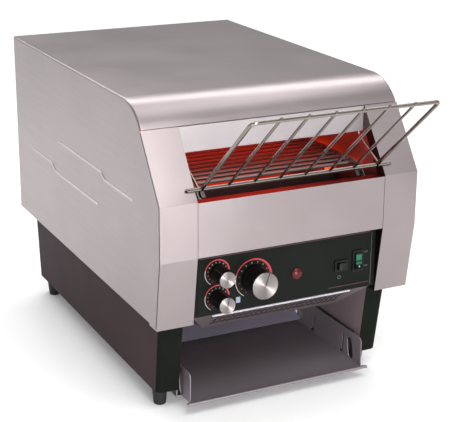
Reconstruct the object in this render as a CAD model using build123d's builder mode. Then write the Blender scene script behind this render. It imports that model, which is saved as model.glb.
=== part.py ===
"""Countertop conveyor toaster, in millimetres, +Z up, front facing -Y.

Bread is laid on the belt at the sloping front opening, rides back between two banks of
heating elements, drops behind the belt and slides down a chute to the tray at the front.
The origin is on the counter, under the middle of the whole machine.
"""

from build123d import *
import os
from math import asin, atan2, cos, degrees, pi, radians, sin, tan

os.makedirs("parts", exist_ok=True)

# ---- overall sizes -----------------------------------------------------------
body_width = 368.0  # over the stainless sides
body_depth = 560.0  # from the front panel's face to the hood's rear edge
body_height = 273.0  # of the stainless body, without base and feet
base_height = 109.7
foot_height = 28.4
sheet = 1.2  # stainless cladding
frame_sheet = 1.5  # inner frames, deck and base
liner_sheet = 1.0  # reflectors, chute and shields
play = 0.3  # between pieces that lie side by side
running = 0.05  # radial play of a turning shaft
seat = 0.02  # radial play of a fixed fit

# ---- front outline, seen from the side ----------------------------------------
slope_angle = 35.0  # of the upper front, from vertical
hood_bend = 69.0  # outer radius between the top and the sloping front
upper_kink = 162.0  # heights above the body's lower edge
lower_kink = 90.0
chin_setback = 13.3  # of the body's lower front edge
chin_drop = 3.0  # of the lower front corners below the sides
chin_tab = 20.0  # depth of those corners
seam = 2.0  # between a front trim and the hood's side
trim_width = 50.0
trim_flange = 16.0

# ---- feed rack -----------------------------------------------------------------
rack_length = 169.4
rack_lean = 49.0  # from vertical
rack_rod_setback = 8.0
rack_rod_height = 176.0
rack_rod = 5.0
rack_wire = 3.6
rack_stay = 3.5
rack_tip = 4.0  # of the wires past the top bar

# ---- place of the machine over the origin --------------------------------------
lean = radians(rack_lean)
rack_reach = (rack_length + rack_tip) * sin(lean) + rack_wire / 2 * cos(lean) - rack_rod_setback
front_y = -(body_depth - rack_reach) / 2
rear_y = front_y + body_depth
body_z = foot_height + base_height
top_z = body_z + body_height
half_width = body_width / 2
opening_half = half_width - trim_width
frame_x = opening_half + sheet + play  # inner face of the side frames
slope = radians(slope_angle)
chin_angle = atan2(chin_setback, lower_kink + chin_drop)


def front_line(depth, drop=chin_drop):
    """Front outline from the hood's edge down to the chin, moved back square to each face."""
    bend_z = top_z - hood_bend * (1 - sin(slope))
    bend_y = front_y + (bend_z - body_z - upper_kink) * tan(slope)
    edge = (bend_y + depth * cos(slope), bend_z - depth * sin(slope))
    upper = (front_y + depth, body_z + upper_kink - depth * tan(slope / 2))
    lower = (front_y + depth, body_z + lower_kink + depth * tan(chin_angle / 2))
    end_z = body_z - drop
    end_y = lower[0] + (lower[1] - end_z) * tan(chin_angle)
    return [edge, upper, lower, (end_y, end_z)]


hood_edge_y, hood_edge_z = front_line(0)[0]
bend_center = (hood_edge_y + hood_bend * cos(slope), top_z - hood_bend)

pieces = {}


def keep(name, part):
    """Label a finished piece and write it to its own file."""
    part.label = name
    pieces[name] = part
    export_step(part, f"parts/{name}.step")


def folded_sheet(points, thickness, half_x, corner=0.0, x_mid=0.0):
    """A sheet folded along x: points are (y, z) on its middle surface."""
    with BuildPart() as folded:
        with BuildSketch(Plane.YZ.offset(x_mid)):
            with BuildLine():
                if corner:
                    FilletPolyline(*points, radius=corner)
                else:
                    Polyline(*points)
            trace(line_width=thickness)
        extrude(amount=half_x, both=True)
    return folded.part


def across(x, center, facing=1, angle=0.0):
    """Plane square to the x axis at (y, z), its own x axis turned up from +Y by the angle."""
    turn = radians(angle)
    return Plane((x, *center), x_dir=(0, cos(turn), sin(turn)), z_dir=(facing, 0, 0))


# ---- hood: top, curved front and both sides in one skin ------------------------
bead_width = 3.2
bead_height = 0.8
bead_taper = 30.0
bead_corner = 9.0
bead_steps = [  # each bead's front end behind the front face, its height, and its level and stepped runs
    (87.0, 146.0, 93.0, 14.0, 8.0, 168.0),
    (209.5, 104.5, 169.5, 17.0, 9.0, 87.0),
]

side_front = front_line(sheet + seam)
with BuildPart() as hood:
    with BuildSketch(Plane.YZ):
        with BuildLine():
            bend = CenterArc(bend_center, hood_bend, 90, 90 - slope_angle)
            tab_y = side_front[-1][0] + chin_tab
            Polyline(bend @ 1, *side_front, (tab_y, body_z - chin_drop), (tab_y, body_z))
            Polyline((tab_y, body_z), (rear_y, body_z), (rear_y, top_z), bend @ 0)
        make_face()
    extrude(amount=half_width, both=True)
    rims = hood.edges().filter_by_position(Axis.X, half_width - 1, half_width + 1)
    rims += hood.edges().filter_by_position(Axis.X, -half_width - 1, -half_width + 1)
    fillet(rims.filter_by_position(Axis.Z, hood_edge_z - 1, top_z), radius=2 * sheet)
    with BuildSketch(Plane.YZ):
        with BuildLine():
            inner = CenterArc(bend_center, hood_bend - sheet, 90, 90 - slope_angle)
            clear_y = front_y - chin_setback
            clear_z = body_z - 2 * chin_tab
            Polyline(inner @ 1, (clear_y, (inner @ 1).Y), (clear_y, clear_z), (rear_y, clear_z))
            Polyline((rear_y, clear_z), (rear_y, top_z - sheet), inner @ 0)
        make_face()
    extrude(amount=half_width - sheet, both=True, mode=Mode.SUBTRACT)
    for side in (1, -1):
        outer_face = Plane((side * half_width, 0, 0), x_dir=(0, side, 0), z_dir=(side, 0, 0))
        for behind, above, front_run, step, rise, rear_run in bead_steps:
            with BuildSketch(outer_face):
                with BuildLine():
                    knee = front_y + behind + front_run
                    FilletPolyline(
                        (side * (front_y + behind), body_z + above),
                        (side * knee, body_z + above),
                        (side * (knee + step), body_z + above + rise),
                        (side * (knee + step + rear_run), body_z + above + rise),
                        radius=bead_corner,
                    )
                trace(line_width=bead_width)
            extrude(amount=bead_height, taper=bead_taper)
keep("hood", hood.part)

# ---- front trims: corner posts between the hood's sides and the opening ---------
rod_y = front_y + rack_rod_setback
rod_z = body_z + rack_rod_height
rod_overlap = 11.0  # of the rack's lower rod past the opening, at each side
rod_reach = opening_half + rod_overlap


def front_trim(side):
    """Folded post: front face, and a return flange along each edge."""
    inner_x = opening_half
    flange_x = (inner_x, half_width - sheet - play - frame_sheet)
    line = front_line(sheet / 2)
    seam_gap = 0.8
    start = (line[0][0] - seam_gap * sin(slope), line[0][1] - seam_gap * cos(slope))
    with BuildPart() as trim:
        with BuildSketch(Plane.YZ.offset(side * inner_x)):
            with BuildLine():
                Polyline(start, *line[1:])
            trace(line_width=sheet)
        extrude(amount=side * trim_width)
        for x in flange_x:
            with BuildSketch(Plane.YZ.offset(side * x)):
                with BuildLine():
                    back = front_line(trim_flange)
                    back_start = (back[0][0] - seam_gap * sin(slope), back[0][1] - seam_gap * cos(slope))
                    Polyline(start, *line[1:], *reversed(back[1:]), back_start, start)
                make_face()
            extrude(amount=side * sheet)
        with Locations((side * (rod_reach + inner_x) / 2, rod_y, rod_z)):
            notch_length = rod_reach - inner_x + rack_rod
            Cylinder(rack_rod / 2 + play, notch_length, rotation=(0, 90, 0), mode=Mode.SUBTRACT)
    return trim.part


keep("front_trim_left", front_trim(-1))
keep("front_trim_right", front_trim(1))

# ---- panels between the trims ---------------------------------------------------
panel_half = opening_half - 2 * play
panel_top = 161.0
lip_depth = 14.0
control_setback = 15.0
control_bottom = 5.0
baffle_drop = 64.0  # of the baffle's lower edge below the hood's top
baffle_bottom = body_height - baffle_drop

panel_mid = front_y + sheet / 2
panel_low = body_z + lower_kink + sheet / 2
panel_high = body_z + panel_top - sheet / 2
panel_path = [
    (front_y + control_setback - play, panel_low),
    (panel_mid, panel_low),
    (panel_mid, panel_high),
    (front_y + lip_depth, panel_high),
]
keep("front_panel", folded_sheet(panel_path, sheet, panel_half))

baffle_mid = hood_edge_y + sheet / 2
baffle_path = [(baffle_mid, body_z + baffle_bottom), (baffle_mid, hood_edge_z - sheet)]
keep("upper_baffle", folded_sheet(baffle_path, sheet, panel_half))

# ---- controls ---------------------------------------------------------------------
plate_thickness = 0.8
panel_y = front_y + control_setback  # front face of the control panel
dial_y = panel_y - plate_thickness  # front face of the printed dial plate
dial_inset = 33.7  # of the two small dials from the opening's left edge
dial_spacing = 51.6  # between the small dials and the large one
lamp_spacing = 62.5
power_inset = 28.2
switch_spacing = 25.3
top_heat_at = (dial_inset - opening_half, 61.6)  # x, and height above the body's lower edge
bottom_heat_at = (dial_inset - opening_half, 27.3)
speed_at = (top_heat_at[0] + dial_spacing, 45.7)
lamp_at = (speed_at[0] + lamp_spacing, 41.7)
power_at = (opening_half - power_inset, 44.8)
standby_at = (power_at[0] - switch_spacing, 41.5)
spindle_radius = 3.0
bush_radius = 4.5
lamp_radius = 7.5
lamp_neck = 6.0
power_size = (29.5, 16.5)  # bezel, along and across its rocking direction
standby_size = (20.0, 15.5)
bezel_lip = 1.8
dials = {"speed": speed_at, "top_heat": top_heat_at, "bottom_heat": bottom_heat_at}
switches = {"power": (power_at, power_size, True), "standby": (standby_at, standby_size, False)}


def panel_openings(margin):
    """Holes for the bushes, the lamp and the switches, cut from the current sketch."""
    for at in dials.values():
        with Locations((at[0], body_z + at[1])):
            Circle(bush_radius + margin, mode=Mode.SUBTRACT)
    with Locations((lamp_at[0], body_z + lamp_at[1])):
        Circle(lamp_neck + margin, mode=Mode.SUBTRACT)
    for at, size, upright in switches.values():
        long = size[0] - 2 * bezel_lip + 2 * margin
        short = size[1] - 2 * bezel_lip + 2 * margin
        with Locations((at[0], body_z + at[1])):
            Rectangle(short if upright else long, long if upright else short, mode=Mode.SUBTRACT)


panel_height = lower_kink - control_bottom - 2 * play
panel_mid_z = body_z + control_bottom + panel_height / 2
with BuildPart() as control_panel:
    with BuildSketch(Plane.XZ.offset(-panel_y)):
        with Locations((0, panel_mid_z)):
            Rectangle(2 * panel_half, panel_height)
        panel_openings(play)
    extrude(amount=-sheet)
keep("control_panel", control_panel.part)

plate_inset = 5.5
with BuildPart() as dial_plate:
    with BuildSketch(Plane.XZ.offset(-panel_y)):
        with Locations((0, panel_mid_z)):
            RectangleRounded(2 * (panel_half - plate_inset), panel_height - 4 * play, 2)
        panel_openings(play)
    extrude(amount=plate_thickness)
keep("dial_plate", dial_plate.part)

knob_back = 4.7  # gap between the dial plate and a knob
spindle_reach = 22.0  # in front of the dial plate
spindle_tail = 8.0  # behind the control panel
nut_height = 2.2
knob_skirt = 3.0  # height of the smooth rim at its back
knob_cap = 2.0  # height of the smooth rim at its face
flute_radius = 0.9
speed_grip = (18.3, 28, 26.5)  # radius, flutes and depth of the large knob
heat_grip = (11.2, 18, 24.5)
speed_block = (26.0, 26.0, 16.0)  # width, height and depth
heat_block = (34.0, 30.0, 28.0)
block_corner = 2.0
thread_reach = 3.2  # of a control's bush in front of the dial plate
nut_wall = 2.0


def knob(at, radius, flutes, depth):
    """Turned knob with a fluted grip, bored for its spindle from behind."""
    x, z = at[0], body_z + at[1]
    back_y = dial_y - knob_back
    with BuildPart() as turned:
        with BuildSketch(Plane.XZ.offset(-back_y)):
            with Locations((x, z)):
                Circle(radius)
        extrude(amount=knob_skirt)
        with BuildSketch(Plane.XZ.offset(-back_y + knob_skirt)):
            with Locations((x, z)):
                Circle(radius - flute_radius / 2)
                with PolarLocations(radius - flute_radius / 3, flutes):
                    Circle(flute_radius, mode=Mode.SUBTRACT)
        extrude(amount=depth - knob_skirt - knob_cap)
        with BuildSketch(Plane.XZ.offset(-back_y + depth - knob_cap)):
            with Locations((x, z)):
                Circle(radius - flute_radius / 2)
        extrude(amount=knob_cap)
        chamfer(turned.faces().sort_by(Axis.Y)[0].edges(), knob_cap / 4)
        with BuildSketch(Plane.XZ.offset(-back_y)):
            with Locations((x, z)):
                Circle(spindle_radius + seat)
        extrude(amount=spindle_reach - knob_back + play, mode=Mode.SUBTRACT)
    return turned.part


def spindle(at):
    """Round spindle from inside the control to inside the knob."""
    with BuildPart() as rod:
        with BuildSketch(Plane.XZ.offset(-(panel_y + sheet + spindle_tail))):
            with Locations((at[0], body_z + at[1])):
                Circle(spindle_radius)
        extrude(amount=spindle_tail + sheet + plate_thickness + spindle_reach)
    return rod.part


def control(at, size):
    """Rotary control: block behind the panel, threaded bush through it and a nut in front."""
    width, height, depth = size
    back = panel_y + sheet
    with BuildPart() as block:
        with BuildSketch(Plane.XZ.offset(-back)):
            with Locations((at[0], body_z + at[1])):
                RectangleRounded(width, height, block_corner)
        extrude(amount=-depth)
        with BuildSketch(Plane.XZ.offset(-back)):
            with Locations((at[0], body_z + at[1])):
                Circle(bush_radius)
        extrude(amount=sheet + plate_thickness + thread_reach)
        with BuildSketch(Plane.XZ.offset(-dial_y)):
            with Locations((at[0], body_z + at[1])):
                RegularPolygon(bush_radius + nut_wall, 6)
        extrude(amount=nut_height)
        with BuildSketch(Plane.XZ.offset(-(back + spindle_tail + play))):
            with Locations((at[0], body_z + at[1])):
                Circle(spindle_radius + running)
        extrude(amount=spindle_tail + spindle_reach, mode=Mode.SUBTRACT)
    return block.part


keep("speed_knob", knob(speed_at, *speed_grip))
keep("top_heat_knob", knob(top_heat_at, *heat_grip))
keep("bottom_heat_knob", knob(bottom_heat_at, *heat_grip))
for dial, dial_at in dials.items():
    keep(f"{dial}_spindle", spindle(dial_at))
keep("speed_control", control(speed_at, speed_block))
heat_blocks = [control(at, heat_block) for at in (top_heat_at, bottom_heat_at)]
keep("heat_controls", Compound(heat_blocks))

lamp_depth = 18.0
lamp_rim = 1.6
lamp_crown = 3.4
with BuildPart() as pilot_lamp:
    lamp_foot = (lamp_at[0], dial_y, body_z + lamp_at[1])
    dome_radius = (lamp_crown**2 + lamp_radius**2) / (2 * lamp_crown)
    with BuildSketch(Plane(lamp_foot, x_dir=(1, 0, 0), z_dir=(0, 0, 1))):
        with BuildLine():
            dome_center = (0, dome_radius - lamp_crown - lamp_rim)
            rim_angle = degrees(asin(lamp_radius / dome_radius))
            dome = CenterArc(dome_center, dome_radius, -90, rim_angle)
            Polyline(dome @ 1, (lamp_radius, 0), (lamp_neck, 0), (lamp_neck, lamp_depth))
            Polyline((lamp_neck, lamp_depth), (0, lamp_depth), dome @ 0)
        make_face()
    revolve(axis=Axis(lamp_foot, (0, 1, 0)))
keep("pilot_lamp", pilot_lamp.part)

rocker_gap = 0.9
rocker_tilt = 8.0
switch_depth = 22.0
switch_well = 12.0  # depth of the rocker's hollow
rocker_wall = 1.2
rocker_crest = 5.2  # height of the rocker's two edges over its pivot
rocker_valley = 3.7
rocker_belly = 5.0
bezel_height = 2.0
pivot_radius = 1.0


def switch_plane(at, upright):
    """Plane on the dial plate at a switch, its x along the rocking direction, z outwards."""
    along = (0, 0, 1) if upright else (1, 0, 0)
    return Plane((at[0], dial_y, body_z + at[1]), x_dir=along, z_dir=(0, -1, 0))


def switch_housing(at, size, upright):
    """Bezel in front of the dial plate and a box behind it, hollow for the rocker."""
    face = switch_plane(at, upright)
    long, short = size[0] - 2 * bezel_lip, size[1] - 2 * bezel_lip
    with BuildPart() as housing:
        with BuildSketch(face):
            RectangleRounded(size[0], size[1], bezel_lip - play)
        extrude(amount=bezel_height)
        with BuildSketch(face):
            Rectangle(long, short)
        extrude(amount=-switch_depth)
        with BuildSketch(face.offset(bezel_height)):
            Rectangle(long - 2 * rocker_wall, short - 2 * rocker_wall)
        extrude(amount=-switch_well, mode=Mode.SUBTRACT)
        with BuildSketch(Plane(face.origin, x_dir=face.x_dir, z_dir=-face.y_dir)):
            Circle(pivot_radius + running)
        extrude(amount=short / 2 - rocker_wall / 3, both=True, mode=Mode.SUBTRACT)
    return housing.part


def rocker(at, size, upright):
    """Rocker with a shallow valley across its middle, tipped so that its far end is pressed."""
    face = switch_plane(at, upright)
    half = size[0] / 2 - bezel_lip - rocker_wall - rocker_gap
    half_across = size[1] / 2 - bezel_lip - rocker_wall - play
    tilt = radians(rocker_tilt)
    tilted = Plane(
        face.origin, x_dir=face.x_dir * cos(tilt) - face.z_dir * sin(tilt), z_dir=-face.y_dir
    )
    with BuildPart() as tipped:
        with BuildSketch(tilted):
            with BuildLine():
                Polyline((-half, rocker_crest), (0, rocker_valley), (half, rocker_crest), (half, 0))
                Polyline((half, 0), (half / 2, -rocker_belly), (-half / 2, -rocker_belly))
                Polyline((-half / 2, -rocker_belly), (-half, 0), (-half, rocker_crest))
            make_face()
        extrude(amount=half_across, both=True)
        with BuildSketch(tilted):
            Circle(pivot_radius)
        extrude(amount=half_across + play + rocker_wall / 2, both=True)
    return tipped.part


for switch, (switch_at, switch_size, switch_upright) in switches.items():
    keep(f"{switch}_switch", switch_housing(switch_at, switch_size, switch_upright))
    keep(f"{switch}_rocker", rocker(switch_at, switch_size, switch_upright))

# ---- base: tapered box with a passage for the chute and the tray -----------------
base_top_inset = (14.7, 36.3, 22.1)  # inside the body at each side, in front and at the rear
base_bottom_inset = (16.4, 52.7, 30.3)
base_corner = 10.0
passage_clear = 3.0  # wider than the opening, at each side
passage_half = opening_half + passage_clear
passage_floor_start = 222.0  # behind the front face; open below in front of it
passage_wall = 55.0  # its rear wall in front of the body's rear
passage_rear = body_depth - passage_wall


def base_outline(inset):
    """Width of the base, and its front and rear behind the front face."""
    return (body_width - 2 * inset[0], inset[1], body_depth - inset[2])


base_top = base_outline(base_top_inset)
base_bottom = base_outline(base_bottom_inset)


def base_block(inset, floor_z):
    """Tapered solid between the base's two outlines, drawn in by the inset."""
    with BuildPart() as block:
        for (width, front, rear), z in ((base_top, body_z), (base_bottom, foot_height)):
            with BuildSketch(Plane.XY.offset(z)):
                with Locations((0, front_y + (front + rear) / 2)):
                    RectangleRounded(width - 2 * inset, rear - front - 2 * inset, base_corner - inset)
        loft()
        if floor_z > foot_height:
            split(bisect_by=Plane.XY.offset(floor_z), keep=Keep.TOP)
    return block.part


def passage_block(half_x, rear, floor_z, start=0.0):
    """Box of the toast passage, from in front of the base to its rear wall."""
    low_y = front_y + start
    with BuildPart() as block:
        with BuildSketch(Plane.XY.offset(floor_z)):
            with Locations((0, (low_y + front_y + rear) / 2)):
                Rectangle(2 * half_x, front_y + rear - low_y)
        extrude(amount=body_z - floor_z)
    return block.part


foot_inset = 32.2  # of the feet's middles from the body's sides
foot_front = 80.8
foot_rear_inset = 55.0
foot_x = half_width - foot_inset
foot_rear = body_depth - foot_rear_inset
foot_places = {
    "front_left": (-foot_x, front_y + foot_front),
    "front_right": (foot_x, front_y + foot_front),
    "rear_left": (-foot_x, front_y + foot_rear),
    "rear_right": (foot_x, front_y + foot_rear),
}
bolt_radius = 3.0
base_floor = foot_height + frame_sheet
gland_inset = 66.0
gland_x = gland_inset - half_width
gland_height = 50.0  # below the body
gland_radius = 8.0
gland_bore = 4.2
gland_collar = 4.0  # of its hexagons past the thread
gland_hex = 5.0  # height of the outer hexagon
gland_dome = 7.0
gland_taper = 12.0
rear_lean = atan2(base_top[2] - base_bottom[2], base_height)
gland_y = front_y + base_top[2] - gland_height * tan(rear_lean)
gland_plane = Plane(
    (gland_x, gland_y, body_z - gland_height), x_dir=(1, 0, 0), z_dir=(0, cos(rear_lean), -sin(rear_lean))
)

with BuildPart() as base_cavity:
    add(base_block(frame_sheet, base_floor))
    walled = passage_block(passage_half + frame_sheet, passage_rear + frame_sheet, foot_height)
    add(walled, mode=Mode.SUBTRACT)
with BuildPart() as base_shell:
    add(base_block(0, foot_height))
    add(passage_block(passage_half, passage_floor_start, foot_height), mode=Mode.SUBTRACT)
    add(passage_block(passage_half, passage_rear, base_floor), mode=Mode.SUBTRACT)
    add(base_cavity.part, mode=Mode.SUBTRACT)
    with Locations(*[(x, y, foot_height) for x, y in foot_places.values()]):
        Cylinder(bolt_radius + play, 4 * frame_sheet, mode=Mode.SUBTRACT)
    with BuildSketch(gland_plane):
        Circle(gland_radius + play)
    extrude(amount=4 * frame_sheet, both=True, mode=Mode.SUBTRACT)
keep("base_shell", base_shell.part)

foot_top_radius = 10.6
foot_tip_radius = 8.2
recess_radius = 5.6
recess_depth = 12.0
foot_chamfer = 1.0
foot_collar = 4.0
for place, (foot_px, foot_py) in foot_places.items():
    with BuildPart() as foot:
        with BuildSketch(Plane((foot_px, foot_py, 0), x_dir=(1, 0, 0), z_dir=(0, -1, 0))):
            with BuildLine():
                Polyline(
                    (recess_radius, 0),
                    (foot_tip_radius - foot_chamfer, 0),
                    (foot_tip_radius, foot_chamfer),
                    (foot_top_radius, foot_height - foot_collar),
                    (foot_top_radius, foot_height),
                    (bolt_radius + seat, foot_height),
                    (bolt_radius + seat, recess_depth),
                    (recess_radius, recess_depth),
                    (recess_radius, 0),
                )
            make_face()
        revolve(axis=Axis((foot_px, foot_py, 0), (0, 0, 1)))
    keep(f"foot_{place}", foot.part)

head_height = 4.0
nut_size = 5.0
nut_radius = 5.7
bolt_tail = 2.0  # past its nut
bolts = []
for foot_px, foot_py in foot_places.values():
    with BuildPart() as bolt:
        with BuildSketch(Plane.XY.offset(recess_depth - head_height)):
            with Locations((foot_px, foot_py)):
                Circle(recess_radius - play)
        extrude(amount=head_height)
        with BuildSketch(Plane.XY.offset(recess_depth)):
            with Locations((foot_px, foot_py)):
                Circle(bolt_radius)
        extrude(amount=base_floor + nut_size + bolt_tail - recess_depth)
    with BuildPart() as nut:
        with BuildSketch(Plane.XY.offset(base_floor)):
            with Locations((foot_px, foot_py)):
                RegularPolygon(nut_radius, 6)
                Circle(bolt_radius + seat, mode=Mode.SUBTRACT)
        extrude(amount=nut_size)
    bolts += [bolt.part, nut.part]
keep("foot_bolts", Compound(bolts))

with BuildPart() as cord_gland:
    with BuildSketch(gland_plane):
        RegularPolygon(gland_radius + gland_collar, 6)
    extrude(amount=gland_hex)
    with BuildSketch(gland_plane.offset(gland_hex)):
        Circle(gland_radius + 1)
    extrude(amount=gland_dome, taper=gland_taper)
    with BuildSketch(gland_plane):
        Circle(gland_radius)
    extrude(amount=-frame_sheet - 2 * gland_hex)
    with BuildSketch(gland_plane.offset(-frame_sheet - play)):
        RegularPolygon(gland_radius + gland_collar, 6)
    extrude(amount=-gland_collar)
    with BuildSketch(gland_plane):
        Circle(gland_bore)
    extrude(amount=4 * gland_hex, both=True, mode=Mode.SUBTRACT)
keep("cord_gland", cord_gland.part)

# ---- deck between base and hood ----------------------------------------------------
deck_front = chin_setback + trim_flange + 1.0  # behind the front face, clear of the trims
deck_rail = 20.0  # its bar behind the passage, from the body's rear
deck_rear_rail = body_depth - deck_rail
deck_flange = 18.0  # height of its upright rear flange
rear_inset = 3.0  # of the rear panel inside the hood's rear edge
deck_half = half_width - sheet - play
deck_top = body_z + frame_sheet
panel_rear_y = rear_y - rear_inset  # outer face of the rear panel
flange_y = panel_rear_y - sheet - frame_sheet
screw_inset = 34.0
screw_x = half_width - screw_inset
screw_heights = (12.0, 130.0, 240.0)  # above the body's lower edge
screw_radius = 1.9
screw_head = (3.6, 2.2)  # radius and height
screw_cross = (4.4, 0.9)  # recess in the head
screw_length = 8.0
vent_pitch = (62.0, 11.0)
vent_size = (48.0, 4.5)

with BuildPart() as chassis_deck:
    with BuildSketch(Plane.XY.offset(body_z)):
        with Locations((0, (front_y + deck_front + panel_rear_y - sheet) / 2)):
            Rectangle(2 * deck_half, panel_rear_y - sheet - front_y - deck_front)
        with Locations((0, front_y + deck_rear_rail / 2)):
            Rectangle(2 * frame_x, deck_rear_rail, mode=Mode.SUBTRACT)
    extrude(amount=frame_sheet)
    with BuildSketch(Plane.XZ.offset(-flange_y)):
        with Locations((0, deck_top + deck_flange / 2)):
            Rectangle(2 * (screw_x + deck_flange), deck_flange)
        with Locations((0, body_z + screw_heights[0])):
            with GridLocations(2 * screw_x, 0, 2, 1):
                Circle(screw_radius + seat, mode=Mode.SUBTRACT)
    extrude(amount=-frame_sheet)
keep("chassis_deck", chassis_deck.part)

with BuildPart() as rear_panel:
    with BuildSketch(Plane.XZ.offset(-panel_rear_y)):
        panel_rise = top_z - sheet - play - deck_top - play
        with Locations((0, deck_top + play + panel_rise / 2)):
            Rectangle(2 * deck_half, panel_rise)
            with GridLocations(*vent_pitch, 5, 6):
                SlotOverall(*vent_size, mode=Mode.SUBTRACT)
        for height in screw_heights:
            with Locations((0, body_z + height)):
                with GridLocations(2 * screw_x, 0, 2, 1):
                    Circle(screw_radius + play, mode=Mode.SUBTRACT)
    extrude(amount=sheet)
keep("rear_panel", rear_panel.part)

screws = []
for height in screw_heights:
    for screw_side in (-1, 1):
        with BuildPart() as screw:
            at_screw = Plane(
                (screw_side * screw_x, panel_rear_y, body_z + height), x_dir=(1, 0, 0), z_dir=(0, 1, 0)
            )
            with BuildSketch(at_screw):
                Circle(screw_head[0])
            extrude(amount=screw_head[1])
            fillet(screw.faces().sort_by(Axis.Y)[-1].edges(), 1)
            with BuildSketch(at_screw.offset(screw_head[1])):
                RectangleRounded(*screw_cross, 0.3)
                RectangleRounded(*reversed(screw_cross), 0.3)
            extrude(amount=-1, mode=Mode.SUBTRACT)
            with BuildSketch(at_screw):
                Circle(screw_radius)
            extrude(amount=-screw_length)
        screws.append(screw.part)
keep("rear_panel_screws", Compound(screws))

# ---- conveyor sizes ------------------------------------------------------------------
belt_pitch = 15.875
sprocket_teeth = 12
belt_rod = 2.5  # radius of the cross rods
shaft_height = 137.0  # above the body's lower edge
drive_setback = 56.0
drop_space = 123.0  # from the idler shaft to the body's rear
shaft_radius = 6.35
sprocket_width = 5.0
rod_clear = 9.0  # between the cross rods' ends and the opening's edge
sprocket_inset = 13.0  # of the sprockets' middles from the rods' ends
belt_half = opening_half - rod_clear
sprocket_x = belt_half - sprocket_inset
belt_count = round((body_depth - drop_space - drive_setback) / belt_pitch)  # straight pitches
idler_setback = drive_setback + belt_count * belt_pitch
drive_y = front_y + drive_setback
idler_y = front_y + idler_setback
shaft_z = body_z + shaft_height


def pitch_radius(pitch, teeth):
    """Radius of the circle on which a sprocket carries the chain's pins."""
    return pitch / (2 * sin(pi / teeth))


belt_radius = pitch_radius(belt_pitch, sprocket_teeth)

# ---- side frames ------------------------------------------------------------------------
frame_outer = frame_x + frame_sheet
bearing_radius = 9.0
bearing_flange = (13.0, 2.5)  # radius and thickness
element_radius = 4.0
first_leg = 104.0  # behind the front face
last_leg_clear = 53.0  # in front of the idler shaft
hairpins = 3
leg_pitch = (idler_setback - last_leg_clear - first_leg) / (2 * hairpins - 1)
upper_element_drop = 55.0  # below the hood's top
lower_element_rise = 3.0  # above the shafts
upper_element_height = body_height - upper_element_drop
lower_element_height = shaft_height + lower_element_rise
bush_body = 6.0
bush_flange = 7.5
leg_places = [first_leg + leg_pitch * n for n in range(2 * hairpins)]
fan_at = (120.0, 48.0)  # behind the front face, above the body's lower edge
fan_size = 80.0
fan_bore = 37.5
chain_pitch = 12.7
chain_count = 10  # straight pitches
chain_angle = -50.0  # from the drive shaft down to the motor
chain_reach = chain_count * chain_pitch
motor_y = drive_y + chain_reach * cos(radians(chain_angle))
motor_z = shaft_z + chain_reach * sin(radians(chain_angle))
motor_hole = 11.0
frame_drop = 25.0  # of its top below the hood's
frame_top = body_height - frame_drop
frame_flange = 30.0  # width of its rear flange
frame_foot = 14.0  # width of its foot flange
frame_foot_ends = (50.0, 110.0)  # from the front face and from the body's rear
crest_setback = 10.0


def side_frame(side):
    """Upright plate that carries shafts, elements and, by its flanges, the panels."""
    top = body_z + frame_top
    line = front_line(2 * sheet + play, drop=-frame_sheet)
    with BuildPart() as frame:
        with BuildSketch(Plane.YZ.offset(side * frame_x)):
            with BuildLine():
                crest = (bend_center[0] + crest_setback, top)
                Polyline(crest, *line, (flange_y, deck_top), (flange_y, top), crest)
            make_face()
            with Locations((drive_y, shaft_z), (idler_y, shaft_z)):
                Circle(bearing_radius + seat, mode=Mode.SUBTRACT)
            if side < 0:
                with Locations((front_y + fan_at[0], body_z + fan_at[1])):
                    Circle(fan_bore - play, mode=Mode.SUBTRACT)
                for rise in (upper_element_height, lower_element_height):
                    with Locations(*[(front_y + leg, body_z + rise) for leg in leg_places]):
                        Circle(bush_body + seat, mode=Mode.SUBTRACT)
            else:
                with Locations((motor_y, motor_z)):
                    Circle(motor_hole, mode=Mode.SUBTRACT)
        extrude(amount=side * frame_sheet)
        with BuildSketch(Plane.XZ.offset(-flange_y)):
            low = deck_top + deck_flange + frame_sheet
            with Locations((side * (frame_x + frame_flange / 2), (low + top) / 2)):
                Rectangle(frame_flange, top - low)
            for height in screw_heights[1:]:
                with Locations((side * screw_x, body_z + height)):
                    Circle(screw_radius + seat, mode=Mode.SUBTRACT)
        extrude(amount=-frame_sheet)
        with BuildSketch(Plane.XY.offset(deck_top)):
            foot_low, foot_high = front_y + frame_foot_ends[0], rear_y - frame_foot_ends[1]
            with Locations((side * (frame_x + frame_foot / 2), (foot_low + foot_high) / 2)):
                Rectangle(frame_foot, foot_high - foot_low)
        extrude(amount=frame_sheet)
    return frame.part


keep("side_frame_left", side_frame(-1))
keep("side_frame_right", side_frame(1))

# ---- intake tub under the control space, and the heat shield over it ---------------------
tub_depth = 30.0  # below the body's lower edge
tub_top = 6.0
tub_front = 17.0  # behind the front face, at the top
tub_bottom_front = 56.0
tub_rear = 198.0
tub_half = opening_half - play  # at the top
tub_flank = 31.0  # drawn in at the bottom, at each side
tub_bottom_half = opening_half - tub_flank
tub_rise = tub_top + tub_depth
grille_slot = (11.5, 3.0)
grille_turn = 58.0
grille_pitch = (7.6, 11.5)
grille_rows = 3
grille_margin = 8.0
grille_columns = round(2 * (tub_bottom_half - grille_margin) / grille_pitch[0])
grille_angle = atan2(tub_rise, tub_bottom_front - tub_front)
flank_angle = atan2(tub_rise, tub_half - tub_bottom_half)


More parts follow.
